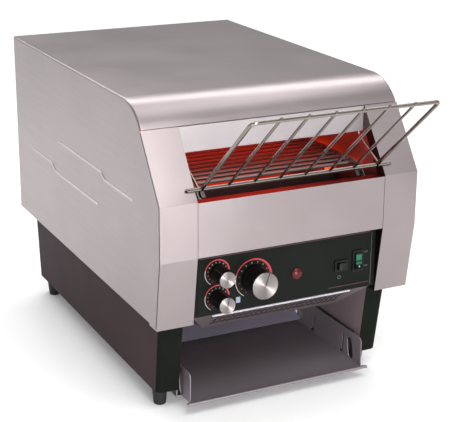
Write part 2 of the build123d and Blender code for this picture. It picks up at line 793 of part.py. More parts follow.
def tub_block(inset):
    """Hopper with a sloping front and sloping flanks, drawn in by the inset."""
    low, high = body_z - tub_depth + inset, body_z + tub_top
    front = front_y + tub_front + inset / sin(grille_angle)
    half = tub_half - inset / sin(flank_angle)
    with BuildPart() as block:
        with BuildSketch(Plane.YZ):
            with BuildLine():
                run = (high - low) / tan(grille_angle)
                rear = front_y + tub_rear - inset
                Polyline((front, high), (rear, high), (rear, low), (front + run, low), close=True)
            make_face()
        extrude(amount=half, both=True)
        for side in (1, -1):
            outward = (side * sin(flank_angle), 0, -cos(flank_angle))
            split(bisect_by=Plane((side * half, 0, high), z_dir=outward), keep=Keep.BOTTOM)
    return block.part


grille_plane = Plane(
    (0, front_y + (tub_front + tub_bottom_front) / 2, body_z + (tub_top - tub_depth) / 2),
    x_dir=(1, 0, 0),
    z_dir=(0, -sin(grille_angle), -cos(grille_angle)),
)
with BuildPart() as intake_grille:
    add(tub_block(0))
    add(tub_block(liner_sheet), mode=Mode.SUBTRACT)
    with BuildSketch(grille_plane):
        with GridLocations(*grille_pitch, grille_columns, grille_rows):
            SlotOverall(*grille_slot, rotation=grille_turn)
    extrude(amount=4 * liner_sheet, both=True, mode=Mode.SUBTRACT)
keep("intake_grille", intake_grille.part)

strip_inset = 1.0
strip_half = tub_bottom_half - strip_inset
strip_ends = (9.0, 16.0)  # along the slope, from its upper edge
strip_off = sheet / 2 + seat  # its middle surface in front of the slope
strip_path = [
    (
        front_y + tub_front + along * cos(grille_angle) - strip_off * sin(grille_angle),
        body_z + tub_top - along * sin(grille_angle) - strip_off * cos(grille_angle),
    )
    for along in strip_ends
]
keep("grille_strip", folded_sheet(strip_path, sheet, strip_half))

shield_top = 96.0
shield_mid = [
    (front_y + tub_rear + liner_sheet, body_z - tub_depth + liner_sheet),
    (front_y + tub_rear + liner_sheet, body_z + shield_top),
    (panel_y + sheet + 2 * play, body_z + shield_top),
]
keep("heat_shield", folded_sheet(shield_mid, liner_sheet, frame_x - play))

# ---- chute and its upright rear liner -----------------------------------------------------
chute_half = frame_x - play
chute_lip = (195.0, -113.0)  # behind the front face, above the body's lower edge
chute_clear = 25.0  # of the upright liner from the body's rear
chute_bend = (body_depth - chute_clear, 62.0)
chute_corner = 60.0
reflector_drop = 35.0  # of the upper reflector below the hood's top
liner_top = body_height - reflector_drop - 2 * liner_sheet
chute_path = [
    (front_y + chute_lip[0], body_z + chute_lip[1]),
    (front_y + chute_bend[0], body_z + chute_bend[1]),
    (front_y + chute_bend[0], body_z + liner_top),
]
tray_clear = 4.0  # narrower than the opening, at each side
tray_half = opening_half - tray_clear
tray_rear = 210.0
tray_floor = -122.0  # above the body's lower edge
tongue_clear = 4.5
chute_tongue = tray_half - tongue_clear  # half width where it reaches into the tray
tongue_cut = (20.0, 32.0, 50.0)  # box that is taken off beside the tongue
tongue_overlap = 26.0  # of that box with the tray's length
with BuildPart() as chute:
    add(folded_sheet(chute_path, liner_sheet, chute_half, corner=chute_corner))
    for side in (-1, 1):
        with BuildSketch(Plane.XY.offset(body_z + tray_floor)):
            cut_y = front_y + tray_rear - tongue_overlap + tongue_cut[1] / 2
            with Locations((side * (chute_tongue + tongue_cut[0] / 2), cut_y)):
                Rectangle(*tongue_cut[:2])
        extrude(amount=tongue_cut[2], mode=Mode.SUBTRACT)
keep("chute", chute.part)

# ---- collector tray on two runners ---------------------------------------------------------
tray_wall = 42.0
tray_corner = 7.0
tray_front = 32.0
tray_lip = 25.0
tray_ear = 5.0  # of its lip past each wall
tray_lip_half = tray_half + tray_ear
hem_radius = 2.0
hand_hole = (60.0, 17.5)  # behind the front face, above the tray's floor
hand_hole_size = (31.0, 13.0)
hand_hole_turn = 80.0
wall_slots = (79.0, 160.0)  # behind the front face
slot_size = (3.5, 27.0)
slot_rise = 18.0
slot_lean = 6.0
toe_size = (9.0, 3.5)  # of the slots' feet
toe_at = (4.0, 4.5)  # behind the slot, above the tray's floor
window_size = (10.0, 14.0)
window_at = (12.0, 13.0)  # before the tray's rear end, above its floor

floor_z = body_z + tray_floor
with BuildPart() as collector_tray:
    with BuildSketch(Plane.XY.offset(floor_z)):
        with Locations((0, front_y + (tray_front + tray_rear) / 2)):
            Rectangle(2 * tray_half, tray_rear - tray_front)
        with Locations((0, front_y + (tray_lip + tray_front) / 2)):
            Rectangle(2 * tray_lip_half, tray_front - tray_lip)
    extrude(amount=sheet)
    with Locations((0, front_y + tray_lip, floor_z + hem_radius)):
        Cylinder(hem_radius, 2 * tray_lip_half, rotation=(0, 90, 0))
    for side in (-1, 1):
        with BuildSketch(Plane.YZ.offset(side * (tray_half - sheet))):
            with BuildLine():
                low = (front_y + tray_front, floor_z)
                FilletPolyline(
                    low,
                    (front_y + tray_front, floor_z + tray_wall),
                    (front_y + tray_rear, floor_z + tray_wall),
                    radius=tray_corner,
                )
                Polyline((front_y + tray_rear, floor_z + tray_wall), (front_y + tray_rear, floor_z), low)
            make_face()
            with Locations((front_y + hand_hole[0], floor_z + hand_hole[1])):
                SlotOverall(*hand_hole_size, rotation=hand_hole_turn, mode=Mode.SUBTRACT)
            for slot_y in wall_slots:
                with Locations((front_y + slot_y, floor_z + slot_rise)):
                    Rectangle(*slot_size, rotation=slot_lean, mode=Mode.SUBTRACT)
                with Locations((front_y + slot_y + toe_at[0], floor_z + toe_at[1])):
                    Rectangle(*toe_size, mode=Mode.SUBTRACT)
            with Locations((front_y + tray_rear - window_at[0], floor_z + window_at[1])):
                Rectangle(*window_size, mode=Mode.SUBTRACT)
        extrude(amount=side * sheet)
keep("collector_tray", collector_tray.part)

rail_start = 60.0
rail_end = tray_rear + tray_clear
rail_rise = 40.0  # of the runner's web above the tray's floor
rail_overlap = 8.0  # of its ledge under the tray's floor
rails = []
for side in (-1, 1):
    ledge_x = tray_half - rail_overlap
    web_x = passage_half - frame_sheet
    with BuildPart() as rail:
        with BuildSketch(Plane.XZ.offset(-(front_y + rail_start))):
            with BuildLine():
                ledge_z = floor_z - play - frame_sheet
                Polyline(
                    (side * ledge_x, ledge_z),
                    (side * passage_half, ledge_z),
                    (side * passage_half, floor_z + rail_rise),
                    (side * web_x, floor_z + rail_rise),
                    (side * web_x, ledge_z + frame_sheet),
                    (side * ledge_x, ledge_z + frame_sheet),
                    (side * ledge_x, ledge_z),
                )
            make_face()
        extrude(amount=-(rail_end - rail_start))
    rails.append(rail.part)
keep("tray_rails", Compound(rails))

# ---- feed rack: one welded wire form --------------------------------------------------------
leg_inset = 9.0  # of its legs from the opening's edge
wire_count = 6
weld = 0.25  # depth of a weld between two wires that lie side by side
rack_corner = 7.0
stay_corner = 4.0
hook_ends = (-5.5, 5.0)  # below and above the baffle's lower edge
leg_x = opening_half - leg_inset
wire_pitch = 2 * leg_x / (wire_count + 1)
stay_x = leg_x + (rack_rod + rack_stay) / 2 - weld
hook_y = baffle_mid + sheet / 2 + play + rack_stay / 2
hook_low, hook_high = [body_z + baffle_bottom + end for end in hook_ends]
rack_top = (rod_y - rack_length * sin(lean), rod_z + rack_length * cos(lean))

with BuildPart() as feed_rack:
    with Locations((0, rod_y, rod_z)):
        Cylinder(rack_rod / 2, 2 * rod_reach, rotation=(0, 90, 0))
    with BuildLine() as bow:
        FilletPolyline(
            (-leg_x, rod_y, rod_z),
            (-leg_x, *rack_top),
            (leg_x, *rack_top),
            (leg_x, rod_y, rod_z),
            radius=rack_corner,
        )
    with BuildSketch(Plane((-leg_x, rod_y, rod_z), x_dir=(1, 0, 0), z_dir=bow.line % 0)):
        Circle(rack_rod / 2)
    sweep()
    rack_plane = Plane((0, rod_y, rod_z), x_dir=(1, 0, 0), z_dir=(0, -sin(lean), cos(lean)))
    with BuildSketch(rack_plane):
        with GridLocations(wire_pitch, 0, wire_count, 1):
            Circle(rack_wire / 2)
    extrude(amount=rack_length + rack_tip)
    for side in (-1, 1):
        with BuildLine() as stay:
            FilletPolyline(
                (side * stay_x, rod_y, rod_z),
                (side * stay_x, hook_y, hook_low),
                (side * stay_x, hook_y, hook_high),
                radius=stay_corner,
            )
        with BuildSketch(Plane((side * stay_x, rod_y, rod_z), x_dir=(1, 0, 0), z_dir=stay.line % 0)):
            Circle(rack_stay / 2)
        sweep()
keep("feed_rack", feed_rack.part)

# ---- chains: pins on a loop round two equal sprockets ------------------------------------------


def loop_pins(center, pitch, teeth, span, angle=0.0):
    """(y, z) of every pin on a loop that starts over the first sprocket, at the given tilt."""
    radius = pitch_radius(pitch, teeth)
    wrap = teeth // 2
    reach = span * pitch
    flat = [(n * pitch, radius) for n in range(span)]
    for n in range(wrap):
        turn = pi / 2 - n * pi / wrap
        flat.append((reach + radius * cos(turn), radius * sin(turn)))
    flat += [(reach - n * pitch, -radius) for n in range(span)]
    for n in range(wrap):
        turn = -pi / 2 - n * pi / wrap
        flat.append((radius * cos(turn), radius * sin(turn)))
    tilt = radians(angle)
    return [
        (center[0] + u * cos(tilt) - v * sin(tilt), center[1] + u * sin(tilt) + v * cos(tilt))
        for u, v in flat
    ]


def link_plate(pitch, height, thickness, hole):
    """Flat link with a hole at each end, lying in the YZ plane along y."""
    with BuildPart() as plate:
        with BuildSketch(Plane.YZ):
            SlotCenterToCenter(pitch, height)
            with GridLocations(pitch, 0, 2, 1):
                Circle(hole, mode=Mode.SUBTRACT)
        extrude(amount=thickness / 2, both=True)
    return plate.part


def link_places(pins):
    """Middle and tilt of the link from each pin to the next."""
    places = []
    for (y0, z0), (y1, z1) in zip(pins, pins[1:] + pins[:1]):
        places.append(((y0 + y1) / 2, (z0 + z1) / 2, degrees(atan2(z1 - z0, y1 - y0))))
    return places


tooth_play = 0.12  # between a pin and its seat
tooth_tip = 0.16  # of the pitch, past the pins' circle
hub_wall = 5.0
hub_length = 7.0


def sprocket(x, center, width, pitch, teeth, pin, bore, angle=0.0):
    """Toothed disc whose seats hold the pins of a loop at the given tilt."""
    radius = pitch_radius(pitch, teeth)
    pocket = pin + tooth_play
    tip = radius + tooth_tip * pitch
    with BuildPart() as disc:
        with BuildSketch(across(x - width / 2, center, angle=angle)):
            Circle(tip)
            with PolarLocations(radius, teeth):
                Circle(pocket, mode=Mode.SUBTRACT)
                flare = pocket + pitch / 4
                mouth = [(0, -pocket), (pitch / 3, -flare), (pitch / 3, flare), (0, pocket)]
                Polygon(*mouth, align=None, mode=Mode.SUBTRACT)
            Circle(bore, mode=Mode.SUBTRACT)
        extrude(amount=width)
        with BuildSketch(across(x - width / 2, center)):
            Circle(bore + hub_wall)
            Circle(bore, mode=Mode.SUBTRACT)
        extrude(amount=-hub_length)
    return disc.part


# ---- conveyor belt: cross rods joined by flat links --------------------------------------------
belt_pins = loop_pins((drive_y, shaft_z), belt_pitch, sprocket_teeth, belt_count)
link_height = 11.0
link_thickness = 1.5
link_gap = 0.5
link_clear = 3.0  # between the sprockets and the inner links
inner_link_x = sprocket_x + sprocket_width / 2 + link_clear
outer_link_x = inner_link_x + link_thickness + link_gap
belt_link = link_plate(belt_pitch, link_height, link_thickness, belt_rod + running)
belt_solids = []
for number, (link_y, link_z, link_tilt) in enumerate(link_places(belt_pins)):
    link_x = inner_link_x if number % 2 else outer_link_x
    for side in (-1, 1):
        belt_solids.append(belt_link.moved(Location((side * link_x, link_y, link_z), (link_tilt, 0, 0))))
with BuildPart() as cross_rod:
    Cylinder(belt_rod, 2 * belt_half, rotation=(0, 90, 0))
belt_solids += [cross_rod.part.moved(Location((0, y, z))) for y, z in belt_pins]
keep("conveyor_belt", Compound(belt_solids))

# ---- shafts and their sprockets --------------------------------------------------------------------
chain_clear = 13.0  # of the drive chain's middle from the side frame
shaft_overhang = 6.0
sprocket_overhang = 7.0  # of the shaft past the chain's middle
chain_x = frame_outer + chain_clear
shaft_end = frame_outer + shaft_overhang


def shaft(center, low_x, high_x, radius):
    """Round shaft along x with chamfered ends."""
    with BuildPart() as bar:
        with BuildSketch(across(low_x, center)):
            Circle(radius)
        extrude(amount=high_x - low_x)
        chamfer(bar.edges().filter_by(GeomType.CIRCLE), radius / 8)
    return bar.part


def sprocket_pair(center):
    """Two belt sprockets on one shaft, as separate solids."""
    pair = [
        sprocket(x, center, sprocket_width, belt_pitch, sprocket_teeth, belt_rod, shaft_radius + seat)
        for x in (-sprocket_x, sprocket_x)
    ]
    return Compound(pair)


def bearing_pair(center):
    """Flanged bush for each side frame, its flange outside."""
    bushes = []
    for side in (-1, 1):
        with BuildPart() as bush:
            with BuildSketch(across(side * (frame_x - play), center, side)):
                Circle(bearing_radius)
            extrude(amount=frame_sheet + play)
            with BuildSketch(across(side * frame_outer, center, side)):
                Circle(bearing_flange[0])
            extrude(amount=bearing_flange[1])
            with BuildSketch(across(side * frame_outer, center, side)):
                Circle(shaft_radius + running)
            extrude(amount=4 * bearing_flange[1], both=True, mode=Mode.SUBTRACT)
        bushes.append(bush.part)
    return bushes


drive_center = (drive_y, shaft_z)
idler_center = (idler_y, shaft_z)
motor_center = (motor_y, motor_z)
keep("drive_shaft", shaft(drive_center, -shaft_end, chain_x + sprocket_overhang, shaft_radius))
keep("idler_shaft", shaft(idler_center, -shaft_end, shaft_end, shaft_radius))
keep("drive_sprockets", sprocket_pair(drive_center))
keep("idler_sprockets", sprocket_pair(idler_center))
keep("shaft_bearings", Compound(bearing_pair(drive_center) + bearing_pair(idler_center)))

# ---- motor and roller chain to the drive shaft ------------------------------------------------------
motor_shaft_radius = 4.0
roller = 3.9
chain_width = 5.0
chain_teeth = 12
gearbox = 60.0
gearbox_length = 36.0
motor_radius = 27.0
motor_length = 66.0
gearbox_corner = 6.0
motor_corner = 3.0
motor_socket = 18.0  # depth of the bore for its shaft
socket_clear = 2.0  # behind the shaft's inner end


def chain_sprocket(center, shaft_size):
    """Sprocket for the drive chain on a shaft of the given radius."""
    bore = shaft_size + seat
    return sprocket(chain_x, center, chain_width, chain_pitch, chain_teeth, roller, bore, chain_angle)


keep("driven_sprocket", chain_sprocket(drive_center, shaft_radius))
keep("motor_sprocket", chain_sprocket(motor_center, motor_shaft_radius))
motor_shaft_ends = (frame_x - motor_socket + socket_clear, chain_x + sprocket_overhang - 1)
keep("motor_shaft", shaft(motor_center, *motor_shaft_ends, motor_shaft_radius))

with BuildPart() as gear_motor:
    with BuildSketch(across(frame_x, motor_center, -1)):
        RectangleRounded(gearbox, gearbox, gearbox_corner)
    extrude(amount=gearbox_length)
    with BuildSketch(across(frame_x - gearbox_length, motor_center, -1)):
        Circle(motor_radius)
    extrude(amount=motor_length)
    fillet(gear_motor.faces().sort_by(Axis.X)[0].edges(), motor_corner)
    with BuildSketch(across(frame_x, motor_center, -1)):
        Circle(motor_shaft_radius + running)
    extrude(amount=motor_socket, mode=Mode.SUBTRACT)
keep("gear_motor", gear_motor.part)

chain_pins = loop_pins(drive_center, chain_pitch, chain_teeth, chain_count, chain_angle)
side_plate = 1.3
side_plate_height = 10.4
side_gap = 0.4
pin_overhang = 0.6
pin_radius = 2.0
inner_plate_x = chain_width / 2 + side_gap + side_plate / 2
outer_plate_x = inner_plate_x + side_plate + side_gap
chain_plate = link_plate(chain_pitch, side_plate_height, side_plate, pin_radius + running)
with BuildPart() as chain_pin:
    Cylinder(pin_radius, 2 * (outer_plate_x + side_plate / 2 + pin_overhang), rotation=(0, 90, 0))
    Cylinder(roller, 2 * (inner_plate_x - side_plate / 2 - running), rotation=(0, 90, 0))
chain_solids = []
for number, (link_y, link_z, link_tilt) in enumerate(link_places(chain_pins)):
    offset_x = inner_plate_x if number % 2 else outer_plate_x
    for side in (-1, 1):
        place = Location((chain_x + side * offset_x, link_y, link_z), (link_tilt, 0, 0))
        chain_solids.append(chain_plate.moved(place))
chain_solids += [chain_pin.part.moved(Location((chain_x, y, z))) for y, z in chain_pins]
keep("drive_chain", Compound(chain_solids))

# ---- belt support: two runners welded to cross ties --------------------------------------------------
runner_inset = 14.0  # of the runners from the sprockets' middles
runner_width = 4.0
runner_height = 18.0
glide = 0.15  # between the runners and the belt's rods
tie_radius = 3.0
tie_rise = 15.0  # above the shafts
shelf_margin = 8.0  # of runners, rests and lower reflector past the elements, and before the idler
runner_x = sprocket_x - runner_inset
runner_top = shaft_z + belt_radius - belt_rod - glide
tie_places = [first_leg + leg_pitch / 2, first_leg + (2 * hairpins - 1.5) * leg_pitch]
tie_z = shaft_z + tie_rise
shelf_low = front_y + first_leg - shelf_margin
with BuildPart() as belt_support:
    runner_high = idler_y - belt_radius - shelf_margin
    with Locations((0, (shelf_low + runner_high) / 2, runner_top - runner_height / 2)):
        with GridLocations(2 * runner_x, 0, 2, 1):
            Box(runner_width, runner_high - shelf_low, runner_height)
    with Locations(*[(0, front_y + place, tie_z) for place in tie_places]):
        Cylinder(tie_radius, 2 * frame_x, rotation=(0, 90, 0))
keep("belt_support", belt_support.part)

# ---- heating elements, their bushes and rests --------------------------------------------------------
sheath_overhang = 10.0  # of the elements past the left side frame
terminal_overhang = 20.0
terminal_radius = 1.6
bend_inset = 38.0  # of the hairpins' straight legs from the opening's right edge
sheath_x = -(frame_outer + sheath_overhang)
terminal_x = -(frame_outer + terminal_overhang)
bend_x = opening_half - bend_inset
bend_radius = leg_pitch / 2


def hairpin(leg, rise):
    """One sheathed element: two legs and a half-round bend, with a terminal pin on each leg."""
    z = body_z + rise
    near, far = front_y + leg, front_y + leg + leg_pitch
    with BuildPart() as element:
        with BuildLine():
            Line((sheath_x, near, z), (bend_x, near, z))
            ThreePointArc((bend_x, near, z), (bend_x + bend_radius, near + bend_radius, z), (bend_x, far, z))
            Line((bend_x, far, z), (sheath_x, far, z))
        with BuildSketch(Plane((sheath_x, near, z), z_dir=(1, 0, 0))):
            Circle(element_radius)
        sweep()
        with BuildSketch(Plane((sheath_x, 0, 0), x_dir=(0, 1, 0), z_dir=(-1, 0, 0))):
            with Locations((near, -z), (far, -z)):
                Circle(terminal_radius)
        extrude(amount=sheath_x - terminal_x)
    return element.part


for bank, rise in (("upper_elements", upper_element_height), ("lower_elements", lower_element_height)):
    keep(bank, Compound([hairpin(first_leg + 2 * leg_pitch * n, rise) for n in range(hairpins)]))

bush_inside = 2.0  # of a bush inside the side frame
bush_outside = 4.0
element_play = 0.1
bushes = []
for rise in (upper_element_height, lower_element_height):
    for leg in leg_places:
        bush_at = (front_y + leg, body_z + rise)
        with BuildPart() as bush:
            with BuildSketch(across(bush_inside - frame_x, bush_at, -1)):
                Circle(bush_body)
            extrude(amount=frame_sheet + bush_inside)
            with BuildSketch(across(-frame_outer, bush_at, -1)):
                Circle(bush_flange)
            extrude(amount=bush_outside)
            with BuildSketch(across(-frame_outer, bush_at, -1)):
                Circle(element_radius + element_play)
            extrude(amount=2 * bush_outside, both=True, mode=Mode.SUBTRACT)
        bushes.append(bush.part)
keep("element_bushes", Compound(bushes))

rest_reach = 20.0  # its edge under the hairpins' bends, from where their legs end
rest_flange = 9.0
rest_low = shelf_low + liner_sheet / 2 + play  # behind the lower reflector's front lip
rests = []
for rise in (upper_element_height, lower_element_height):
    shelf_z = body_z + rise - element_radius - liner_sheet / 2 - element_play
    with BuildPart() as rest:
        rest_high = front_y + leg_places[-1] + shelf_margin
        with BuildSketch(Plane.XZ.offset(-rest_low)):
            with BuildLine():
                edge_x = frame_x - liner_sheet / 2
                Polyline((bend_x + rest_reach, shelf_z), (edge_x, shelf_z), (edge_x, shelf_z + rest_flange))
            trace(line_width=liner_sheet)
        extrude(amount=-(rest_high - rest_low))
    rests.append(rest.part)
keep("element_rests", Compound(rests))

# ---- reflectors -----------------------------------------------------------------------------------------
reflector_half = frame_x - play
upper_lip = 10.0
lower_lip = 8.0  # at its rear edge
front_lip_drop = 2.0  # of its tall front lip's edge below the runners
lower_reflector_drop = 22.0  # below the lower elements
upper_mid = body_z + body_height - reflector_drop
upper_front = front_line(trim_flange)[0][0] + liner_sheet
upper_path = [
    (upper_front, upper_mid - upper_lip),
    (upper_front, upper_mid),
    (front_y + chute_bend[0] - 2 * liner_sheet, upper_mid),
]
keep("upper_reflector", folded_sheet(upper_path, liner_sheet, reflector_half))

lower_mid = body_z + lower_element_height - lower_reflector_drop
lower_path = [
    (shelf_low, runner_top - runner_height - front_lip_drop),
    (shelf_low, lower_mid),
    (runner_high, lower_mid),
    (runner_high, lower_mid + lower_lip),
]
keep("lower_reflector", folded_sheet(lower_path, liner_sheet, reflector_half))

# ---- cooling fan on the left side frame --------------------------------------------------------------------
fan_depth = 25.0
fan_plane = Plane((-frame_x, front_y + fan_at[0], body_z + fan_at[1]), x_dir=(0, 1, 0), z_dir=(1, 0, 0))
fan_corner = 5.0
fan_screw_pitch = 71.5
fan_screw = 2.2
spoke_turns = (20, 65, 110, 155)
spoke_width = 3.5
boss_radius = 16.0
boss_depth = 4.0
axle_radius = 2.0
axle_reach = 16.0  # from the frame's face
blades = 7
hub_clear = 1.0
with BuildPart() as fan_frame:
    with BuildSketch(fan_plane):
        RectangleRounded(fan_size, fan_size, fan_corner)
        Circle(fan_bore, mode=Mode.SUBTRACT)
        with GridLocations(fan_screw_pitch, fan_screw_pitch, 2, 2):
            Circle(fan_screw, mode=Mode.SUBTRACT)
    extrude(amount=fan_depth)
    with BuildSketch(fan_plane):
        Circle(boss_radius)
        for turn in spoke_turns:
            Rectangle(2 * fan_bore + 1, spoke_width, rotation=turn)
    extrude(amount=boss_depth)
    with BuildSketch(fan_plane):
        Circle(axle_radius)
    extrude(amount=axle_reach)
keep("fan_frame", fan_frame.part)

hub_radius = 17.0
hub_depth = 17.0
blade_tip = 36.0
blade_sheet = 1.6
blade_depth = 14.0
with BuildPart() as fan_impeller:
    with BuildSketch(fan_plane.offset(boss_depth + hub_clear)):
        Circle(hub_radius)
    extrude(amount=hub_depth)
    with BuildSketch(fan_plane.offset(boss_depth + hub_clear + hub_depth / 2)):
        with PolarLocations((hub_radius + blade_tip - blade_sheet) / 2, blades):
            Rectangle(blade_tip - hub_radius + blade_sheet, blade_sheet)
    extrude(amount=blade_depth / 2, both=True)
    with BuildSketch(fan_plane):
        Circle(axle_radius + running)
    extrude(amount=axle_reach + 2 * play, mode=Mode.SUBTRACT)
keep("fan_impeller", fan_impeller.part)

# ---- wiring block on the tub's floor ----------------------------------------------------------------
block_at = (-30.0, 165.0)  # x, and behind the front face
block_height = 18.0
block_size = (72.0, 26.0)
ways = 5
way_pitch = (13.0, 12.0)
way_size = (3.0, 5.0)  # radius and depth of its screw wells
rib_size = (1.2, 3.0)  # thickness and height between the ways
block_z = body_z - tub_depth + liner_sheet
with BuildPart() as terminal_block:
    with BuildSketch(Plane.XY.offset(block_z)):
        with Locations((block_at[0], front_y + block_at[1])):
            RectangleRounded(*block_size, block_corner)
    extrude(amount=block_height)
    with BuildSketch(Plane.XY.offset(block_z + block_height)):
        with Locations((block_at[0], front_y + block_at[1])):
            with GridLocations(*way_pitch, ways, 2):
                Circle(way_size[0])
    extrude(amount=-way_size[1], mode=Mode.SUBTRACT)
    with BuildSketch(Plane.XY.offset(block_z + block_height)):
        with Locations((block_at[0], front_y + block_at[1])):
            with GridLocations(way_pitch[0], 0, ways + 1, 1):
                Rectangle(rib_size[0], block_size[1])
    extrude(amount=rib_size[1])
keep("terminal_block", terminal_block.part)
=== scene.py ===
"""Looks of the countertop conveyor toaster: finishes, printed and spun details, light and camera.

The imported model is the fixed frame. Lengths are in metres unless a comment says millimetres, and
x, y, z are the model's own axes: x to the right, y to the rear, z up.
"""

import math

import bmesh
import bpy
from mathutils import Matrix, Vector


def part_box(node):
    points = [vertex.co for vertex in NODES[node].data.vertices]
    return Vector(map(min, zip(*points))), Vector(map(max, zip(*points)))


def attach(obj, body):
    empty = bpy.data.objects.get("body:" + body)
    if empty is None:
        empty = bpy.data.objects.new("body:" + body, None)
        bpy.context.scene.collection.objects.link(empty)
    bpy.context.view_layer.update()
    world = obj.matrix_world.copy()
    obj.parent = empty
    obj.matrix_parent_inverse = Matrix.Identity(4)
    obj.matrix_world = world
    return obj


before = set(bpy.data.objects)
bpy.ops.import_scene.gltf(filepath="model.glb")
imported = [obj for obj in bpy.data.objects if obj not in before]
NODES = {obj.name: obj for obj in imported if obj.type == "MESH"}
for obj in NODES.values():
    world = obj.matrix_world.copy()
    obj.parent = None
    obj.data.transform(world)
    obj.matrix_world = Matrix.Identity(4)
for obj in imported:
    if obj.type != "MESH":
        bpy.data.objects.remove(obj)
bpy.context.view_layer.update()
scene = bpy.context.scene


# ---- places read from the frame ----------------------------------------------------


def middle(node):
    """Centre of a node's box."""
    low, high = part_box(node)
    return (low + high) / 2


MM = 0.001
plate_low, plate_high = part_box("dial_plate")
PLATE_Y = plate_low.y  # front face of the dial plate
FRONT_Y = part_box("front_panel")[0].y  # front face of the body
BODY_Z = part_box("chassis_deck")[0].z  # lower edge of the stainless body


def on_plate(x, z, off=0.0):
    """Point over the dial plate: x, height above the body's lower edge, and lift, in millimetres."""
    return Vector((x * MM, PLATE_Y - off * MM, BODY_Z + z * MM))


# ---- materials ---------------------------------------------------------------------


def linear(red, green, blue):
    """A colour written as 0 to 255 screen values, in the linear values that a shader takes."""
    def one(value):
        value /= 255
        return value / 12.92 if value <= 0.04045 else ((value + 0.055) / 1.055) ** 2.4
    return (one(red), one(green), one(blue), 1.0)


def make_material(name, color, roughness, metallic=0.0, **sockets):
    """A Principled material; further sockets are given by their names with _ for a space."""
    material = bpy.data.materials.new(name)
    material.use_nodes = True
    shader = material.node_tree.nodes["Principled BSDF"]
    shader.inputs["Base Color"].default_value = color
    shader.inputs["Roughness"].default_value = roughness
    shader.inputs["Metallic"].default_value = metallic
    for socket, value in sockets.items():
        shader.inputs[socket.replace("_", " ")].default_value = value
    return material


def add_node(material, kind, **inputs):
    """A shader node with its sockets set by name, _ standing for a space."""
    node = material.node_tree.nodes.new(kind)
    for socket, value in inputs.items():
        node.inputs[socket.replace("_", " ")].default_value = value
    return node


def join(material, source, target):
    """Link one socket to another."""
    material.node_tree.links.new(source, target)


def surface(material, socket):
    """One of the inputs of the material's shader."""
    return material.node_tree.nodes["Principled BSDF"].inputs[socket]


def calculate(material, operation, first, second):
    """Output of a Math node; each side is a socket or a number."""
    node = add_node(material, "ShaderNodeMath")
    node.operation = operation
    for socket, value in zip(node.inputs, (first, second)):
        if isinstance(value, (int, float)):
            socket.default_value = value
        else:
            join(material, value, socket)
    return node.outputs[0]


def coordinates(material, space):
    """X, Y and Z outputs of the object's own place (Object) or facing (Normal)."""
    place = add_node(material, "ShaderNodeTexCoord")
    parts = add_node(material, "ShaderNodeSeparateXYZ")
    join(material, place.outputs[space], parts.inputs[0])
    return parts.outputs


def add_noise(material, scale, detail, stretch=(1, 1, 1)):
    """Noise in the object's own space, drawn out along the axes whose stretch is small."""
    place = add_node(material, "ShaderNodeTexCoord")
    mapping = add_node(material, "ShaderNodeMapping", Scale=stretch)
    noise = add_node(material, "ShaderNodeTexNoise", Scale=scale, Detail=detail)
    join(material, place.outputs["Object"], mapping.inputs["Vector"])
    join(material, mapping.outputs["Vector"], noise.inputs["Vector"])
    return noise.outputs["Fac"]


def shade_with(material, noise, dark, light, low=0.35, high=0.65, socket="Base Color"):
    """One of the shader's colours, between two colours that follow a noise."""
    ramp = add_node(material, "ShaderNodeValToRGB")
    ramp.color_ramp.elements[0].position = low
    ramp.color_ramp.elements[0].color = dark
    ramp.color_ramp.elements[1].position = high
    ramp.color_ramp.elements[1].color = light
    join(material, noise, ramp.inputs["Fac"])
    join(material, ramp.outputs["Color"], surface(material, socket))


NOISE_LOW, NOISE_HIGH = 0.3, 0.7  # nearly all of a noise lies between these


def spread_out(material, noise, reach):
    """A noise turned into a value between minus reach and plus reach."""
    spread = add_node(
        material, "ShaderNodeMapRange",
        From_Min=NOISE_LOW, From_Max=NOISE_HIGH, To_Min=-reach, To_Max=reach,
    )
    join(material, noise, spread.inputs["Value"])
    return spread.outputs["Result"]


def rough_with(material, roughness, fine, fine_reach, broad, broad_reach):
    """Roughness that varies with a fine noise, and with a broad one for wiped and handled patches."""
    total = calculate(material, "ADD", spread_out(material, fine, fine_reach), roughness)
    total = calculate(material, "ADD", total, spread_out(material, broad, broad_reach))
    join(material, total, surface(material, "Roughness"))


def bump_with(material, noise, depth, strength):
    """Bump of the given depth in metres, following a noise."""
    bump = add_node(material, "ShaderNodeBump", Strength=strength, Distance=depth)
    join(material, noise, bump.inputs["Height"])
    join(material, bump.outputs["Normal"], surface(material, "Normal"))


def scaled(color, share):
    """The same colour, darker or lighter by a share."""
    return tuple(min(channel * share, 1.0) for channel in color[:3]) + (1.0,)


GRAIN = 0.012  # stretch of a noise that is drawn out into a brushed grain
GRAIN_DETAIL = 2.0
MOSTLY = 0.7  # facing value above which a face looks mostly along an axis


def folded_grain(material, scale):
    """Brushed grain that runs along y on faces that look sideways, and along x on all others."""
    along_y = add_noise(material, scale, GRAIN_DETAIL, (1, GRAIN, 1))
    along_x = add_noise(material, scale, GRAIN_DETAIL, (GRAIN, 1, 1))
    sideways = calculate(material, "ABSOLUTE", coordinates(material, "Normal")["X"], 0.0)
    on_side = calculate(material, "GREATER_THAN", sideways, MOSTLY)
    on_rest = calculate(material, "SUBTRACT", 1.0, on_side)
    side_part = calculate(material, "MULTIPLY", along_y, on_side)
    rest_part = calculate(material, "MULTIPLY", along_x, on_rest)
    return calculate(material, "ADD", side_part, rest_part)


